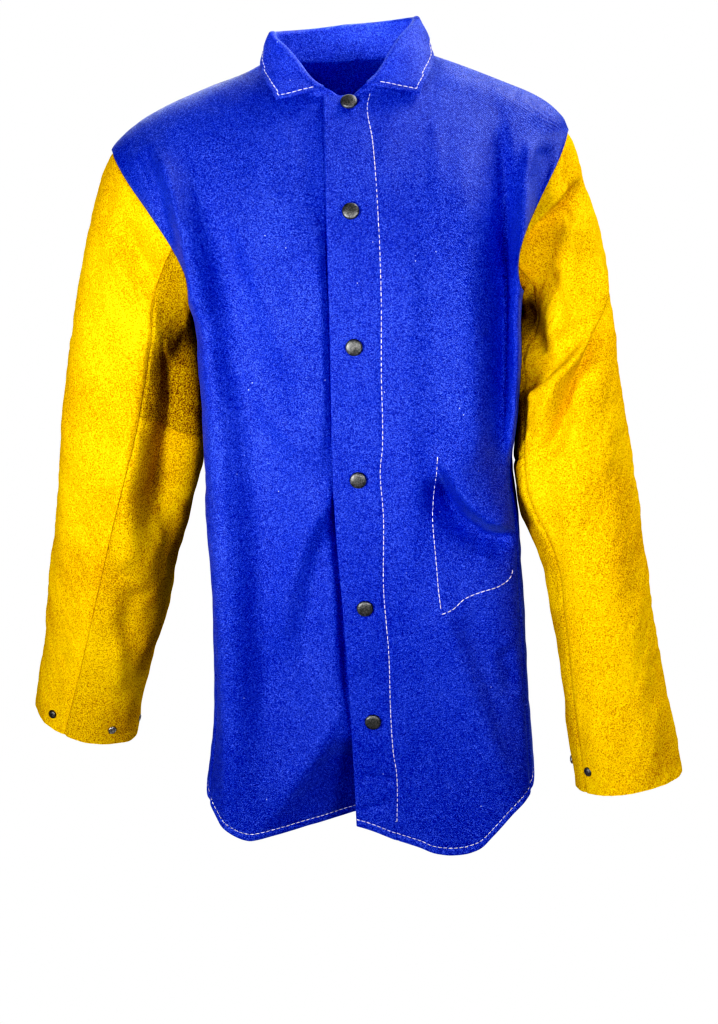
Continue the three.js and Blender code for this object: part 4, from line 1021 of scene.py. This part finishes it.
def sleeve_point(side, angle, section):
    """The sleeve's form: cubic curves down the sleeve through the armhole and its sections, with slopes
    from the sections on both sides."""
    k = np.minimum(np.floor(section).astype(int), SECTIONS - 1)
    armhole = armhole_point(side, angle)

    def ring(number):
        cut = section_point(side, np.clip(number, 1, SECTIONS) - 1, angle)
        return np.where((number <= 0)[..., None], armhole, cut)

    p, q, r, s = ring(k - 1), ring(k), ring(k + 1), ring(k + 2)
    t = (section - k)[..., None]
    start = np.where((k == 0)[..., None], r - q, (r - p) / 2)
    end = np.where((k == SECTIONS - 1)[..., None], r - q, (s - q) / 2)
    return clear_of_body(side, cubic(q, r, start, end, t))


def leather_material(name, depth):
    """Split cowhide: a short nap whose specks run from ochre to bright gold, rough all over. Depth is the
    share of the colour left by painted shade, which dims the under sleeve beside the body; dark specks lose
    the most."""
    material, add = material_nodes(name)
    solid = add("ShaderNodeTexCoord", {}).outputs["Object"]
    mottle = add("ShaderNodeGroup", {"Place": solid, "Grain": 0.0013}, node_tree=MOTTLE).outputs
    cloud = carried(add, mottle["Cloud"], CLOUD_RANGE, -0.05, 0.05)
    stops = [(position, (*(np.array(colour) * depth ** power), 1))
             for position, colour, power in LEATHER_STOPS]
    nap = colour_ramp(add, maths(add, "ADD", mottle["Speck"], cloud), stops)
    bump = add("ShaderNodeBump", {"Strength": 0.5, "Distance": 0.0009, "Height": mottle["Speck"]})
    principled(add, {"Base Color": nap, "Normal": bump.outputs[0], "Roughness": 0.92,
                     "Specular IOR Level": 0.05})
    return material


# The under sleeve's pieces are painted in shade: the same leather is dimmed to 0.60 by the armpit and to
# 0.86 lower down, standing in for the shade that falls beside the body.
GOLD_LEATHER = {"outer": leather_material("split_leather", 1.0),
                "under_upper": leather_material("split_leather_under_painted_shade", 0.60),
                "under_lower": leather_material("split_leather_low_painted_shade", 0.86)}


def seam_pairs(side, apart):
    """The seams on both sides of the outer and of the under sleeve, in degrees at the armhole and the
    cuff, with the given gap between the pieces."""
    front, back = np.array(SLEEVE_SEAMS[side], float)
    return {"outer": (back - 360, front - apart), "under": (front, back - apart)}


def seam_angles(seams, section):
    """Angles of two seams at a section: each turns evenly from armhole to cuff."""
    return [mix(top, cuff, section / SECTIONS) for top, cuff in np.radians(seams)]


def sleeve_piece(side, name, seams, first, last, rows, columns):
    """One piece of a sleeve between two seams, which wind down it, and two sections."""
    share = edge_shares(SLEEVE_WIDTH, columns)
    down = edge_shares(SLEEVE_LENGTH, rows)
    section = np.repeat(mix(first, last, down)[:, None], len(share), axis=1)
    bend = np.radians(SEAM_BEND[side]) * smooth(section, 0, BEND_BELOW)
    start, end = seam_angles(seams, section)
    angle = mix(start + bend * (name != "outer"), end + bend * (name == "outer"), share)
    form = sleeve_point(side, angle, section)
    u, v = cut_lengths(form)
    out = outward_of(form, side == "right")
    facing = smooth(np.sin(angle), 0, FOLDS_FACING) * smooth(section, 0, FOLDS_BELOW)
    seam = np.minimum(u, u[:, -1:] - u)
    across_seam = v if last >= SECTIONS else np.minimum(v, v[-1:] - v)
    seam = np.minimum(seam, np.where(section > SECTIONS - CUFF_ROWS, seam, across_seam))
    relief = fold_field(form[..., 0], form[..., 2], SLEEVE_FOLDS[side]) * facing
    relief += creases(u, v, seam, SLEEVE_CREASES, len(name))
    relief -= LEATHER_ROLL * bell(seam, LEATHER_ROLL_WIDTH)
    relief -= ARMHOLE_ROLL * bell(v, ARMHOLE_ROLL_WIDTH) * (first == SLEEVE_START)
    outer = form + out * relief[..., None]
    piece = sheet_piece(f"{side}_sleeve_{name}_leather", outer, outer - out * LEATHER,
                        np.stack([u, v], -1), side == "right")
    piece.data.materials.append(GOLD_LEATHER[name])
    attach(piece, "root")
    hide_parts(f"{side}_sleeve_{name}")


for sleeve_side in ("right", "left"):
    seams = seam_pairs(sleeve_side, SEAM_OPEN)
    elbow = ELBOW_SEAM[sleeve_side]
    sleeve_piece(sleeve_side, "outer", seams["outer"], SLEEVE_START, SECTIONS, rows=230, columns=110)
    sleeve_piece(sleeve_side, "under_upper", seams["under"], SLEEVE_START, elbow - ELBOW_OPEN,
                 rows=110, columns=70)
    sleeve_piece(sleeve_side, "under_lower", seams["under"], elbow, SECTIONS, rows=130, columns=70)

# Front snaps
# Six ring-spring snaps of blackened brass down the middle of the placket: a domed cap pressed over a
# post that goes through both fronts to a socket inside.
SNAP_LIFT, SNAP_TURNS = 0.9, 40
PINHOLE, RIM_ROUND, DOME_SHARE, DOME_START = 0.05, 0.35, 0.965, 0.06
FLANGE_BEVEL, POST_TOP, CAP_SEAT = 0.4, 0.1, 0.15
METAL_SHARP_FROM = math.radians(40)
# Sizes of a snap: radius, height and rim of its cap, radius of its post, radius and height of its flange.
FRONT_SNAP = (8.0, 3.2, 1.0, 1.9, 5.2, 1.2)


def lathe_piece(name, profile, place, axis):
    """A profile of radius and height turned about an axis that starts at a place: rings of points,
    with the first and last ring drawn in to a pinhole."""
    side = unit(np.cross(axis, [0.0, 0.0, 1.0]))
    turn = 2 * np.pi * np.arange(SNAP_TURNS)[:, None] / SNAP_TURNS
    spoke = np.cos(turn) * side + np.sin(turn) * np.cross(axis, side)
    rings = place + profile[:, None, :1] * spoke + profile[:, None, 1:] * axis
    piece = ring_piece(name, rings[None])
    piece.data.set_sharp_from_angle(angle=METAL_SHARP_FROM)
    return piece


def dome_profile(radius, height, rim):
    """A pressed cap from its edge to its middle: a rounded rim, a shallow groove and a dome."""
    t = np.linspace(0, 1, 9)
    edge = np.stack([radius - RIM_ROUND * (1 - np.sin(np.pi * t)), rim * t], -1)
    s = np.linspace(DOME_START, 1, 12) * np.pi / 2
    dome = np.stack([radius * DOME_SHARE * np.cos(s), rim + (height - rim) * np.sin(s)], -1)
    dome[-1, 0] = PINHOLE
    return np.vstack([edge, dome])


def snap_profile(sizes, grip):
    """A whole snap from its inner flange along its post, which grips so much cloth, to its cap."""
    cap_r, cap_h, rim, post_r, flange_r, flange_h = sizes
    low = -grip - SNAP_LIFT
    foot = low - flange_h
    stem = np.array([(PINHOLE, foot), (flange_r - FLANGE_BEVEL, foot), (flange_r, foot + FLANGE_BEVEL),
                     (flange_r, low), (post_r, low), (post_r, POST_TOP), (cap_r - RIM_ROUND, POST_TOP)])
    cap = dome_profile(cap_r, cap_h + SNAP_LIFT, rim + SNAP_LIFT) + [0, CAP_SEAT]
    return np.vstack([stem, cap])


def snap_metal(name, dark, light, rough):
    """Pressed brass with a plated finish: worn specks run its colour from dark to light, and fine pits
    break up its shine."""
    material, add = material_nodes(name)
    place = add("ShaderNodeTexCoord", {}).outputs["Object"]
    speck = add("ShaderNodeGroup", {"Place": place, "Grain": 0.0011}, node_tree=MOTTLE).outputs["Speck"]
    bump = add("ShaderNodeBump", {"Strength": 0.25, "Distance": 0.0003, "Height": speck})
    principled(add, {"Base Color": colour_ramp(add, speck, [(0.42, dark), (0.72, light)]),
                     "Roughness": carried(add, speck, CLOUD_RANGE, rough - 0.1, rough + 0.15),
                     "Normal": bump.outputs[0], "Metallic": 0.85})
    return material


DARK_METAL = snap_metal("dark_snap", (0.10, 0.10, 0.10, 1), (0.30, 0.30, 0.29, 1), 0.45)
front_snap_profile = snap_profile(FRONT_SNAP, UNDERLAP_INSET + COTTON)
for number, (snap_x, snap_z) in enumerate(SNAPS, start=1):
    snap_angle = angle_at_x(snap_x, snap_z, "front")
    snap_seat, snap_axis = torso_point(snap_angle, snap_z), torso_outward(snap_angle, snap_z)
    snap = lathe_piece(f"front_snap_{number}_metal", front_snap_profile, snap_seat, snap_axis)
    snap.data.materials.append(DARK_METAL)
    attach(snap, "root")
    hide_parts(f"front_snap_{number}")

# Cuff snaps
# Each cuff has a dark cap by its front seam and two bright studs on the under sleeve, for a loose and a
# tight wrist. They are riveted through the leather a little above its edge.
CUFF_SNAP = (4.6, 2.6, 0.8, 1.5, 4.4, 1.0)
CUFF_GAP = math.degrees(SEAM_GAP / 18)
# The facets that a snap can sit on: a piece's first section, and its columns and rows of corners.
CUFF_FACETS = {"outer": (SLEEVE_START, 13, 21), "under": (4.35, 9, 11)}
BRIGHT_METAL = snap_metal("bright_stud", (0.22, 0.21, 0.20, 1), (0.75, 0.74, 0.72, 1), 0.25)
# Each snap: its name, the piece and the facet that it sits on, and its metal.
CUFF_SNAPS = [("cap", "outer", 11, DARK_METAL), ("stud_1", "under", 2, BRIGHT_METAL),
              ("stud_2", "under", 4, BRIGHT_METAL)]


def cuff_seat(side, piece, facet):
    """The middle and the outward direction of one facet of the cuff's last row: the mean of its corners
    and the cross product of its diagonals."""
    first, columns, rows = CUFF_FACETS[piece]
    section = mix(first, SECTIONS, np.array([(rows - 2) / (rows - 1), 1.0]))[:, None]
    share = np.array([facet, facet + 1]) / (columns - 1)
    start, end = seam_angles(seam_pairs(side, CUFF_GAP)[piece], section)
    corner = sleeve_point(side, mix(start, end, share), np.repeat(section, 2, axis=1))
    normal = np.cross(corner[1, 1] - corner[0, 0], corner[1, 0] - corner[0, 1]) * SIGN[side]
    return corner.reshape(-1, 3).mean(axis=0), unit(normal)


cuff_snap_profile = snap_profile(CUFF_SNAP, LEATHER)
for sleeve_side in ("right", "left"):
    for cuff_name, cuff_piece, cuff_facet, cuff_metal in CUFF_SNAPS:
        seat, axis = cuff_seat(sleeve_side, cuff_piece, cuff_facet)
        stud = lathe_piece(f"{sleeve_side}_cuff_{cuff_name}_metal", cuff_snap_profile, seat, axis)
        stud.data.materials.append(cuff_metal)
        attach(stud, "root")
        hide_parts(f"{sleeve_side}_cuff_{cuff_name}")

# Studio
# A plain pale floor well below the jacket, directional lights from the left, the right and ahead, a
# narrow one on the collar, two from behind, and a bright even surround.
WHITE = (1, 1, 1, 1)
FLOOR_Z, FLOOR_HALF = -1.25, 30.0
floor_mesh = bpy.data.meshes.new("floor")
floor_corners = [(-FLOOR_HALF, -FLOOR_HALF, FLOOR_Z), (FLOOR_HALF, -FLOOR_HALF, FLOOR_Z),
                 (FLOOR_HALF, FLOOR_HALF, FLOOR_Z), (-FLOOR_HALF, FLOOR_HALF, FLOOR_Z)]
floor_mesh.from_pydata(floor_corners, [], [(0, 1, 2, 3)])
floor = put("floor", floor_mesh)


def seen_or_lit(add, lit, seen):
    """Two shaders as one: the camera sees the second, and light falls on and from the first."""
    ray = add("ShaderNodeLightPath", {})
    either = add("ShaderNodeMixShader", {0: ray.outputs["Is Camera Ray"], 1: lit.outputs[0],
                                         2: seen.outputs[0]})
    return either.outputs[0]


floor_paint, floor_add = material_nodes("floor_paint")
floor_matt = floor_add("ShaderNodeBsdfPrincipled", {"Base Color": (0.4, 0.4, 0.4, 1), "Roughness": 0.9})
floor_glow = floor_add("ShaderNodeEmission", {"Color": WHITE, "Strength": 1.0})
floor_add("ShaderNodeOutputMaterial", {"Surface": seen_or_lit(floor_add, floor_matt, floor_glow)})
floor_mesh.materials.append(floor_paint)

# Each light: place, size, power, height that it is aimed at, and spread in degrees.
LIGHTS = [
    ("key", (-0.85, -1.10, -0.20), 0.35, 5.25, -0.32, 90),
    ("fill", (0.80, -1.30, -0.15), 0.6, 3.15, -0.32, 90),
    ("front", (0.1, -2.0, 0.10), 0.4, 2.0, -0.32, 90),
    ("neck", (-0.05, -1.4, 0.62), 0.12, 0.13, 0.068, 9),
    ("rim", (0.9, 0.5, 1.1), 0.5, 36, -0.4, 180),
    ("behind", (-0.4, 2.2, 1.2), 1.4, 40, -0.4, 180),
]
for light_name, light_place, light_size, light_power, light_aim, light_spread in LIGHTS:
    lamp = bpy.data.lights.new(light_name, "AREA")
    lamp.size = light_size
    lamp.energy = light_power
    lamp.spread = math.radians(light_spread)
    toward = np.array([0, 0, light_aim]) - np.array(light_place)
    aim = Vector(toward).to_track_quat("-Z", "Y").to_matrix().to_4x4()
    put(light_name, lamp).matrix_world = Matrix.Translation(light_place) @ aim

world = bpy.data.worlds.new("surround")
world.use_nodes = True
world.node_tree.nodes.clear()
bpy.context.scene.world = world
world_add = nodes_of(world.node_tree)
world_seen = world_add("ShaderNodeBackground", {"Color": WHITE, "Strength": 1.0})
world_lit = world_add("ShaderNodeBackground", {"Color": WHITE, "Strength": 0.09})
world_add("ShaderNodeOutputWorld", {"Surface": seen_or_lit(world_add, world_lit, world_seen)})
# The picture is printed hard: shaded tones are held down and light ones left as they are.
TONES = [(0.04, 0.003), (0.08, 0.022), (0.16, 0.085), (0.4, 0.345)]
view = bpy.context.scene.view_settings
view.view_transform = "Standard"
view.use_curve_mapping = True
for tone_in, tone_out in TONES:
    view.curve_mapping.curves[3].points.new(tone_in, tone_out)
view.curve_mapping.update()
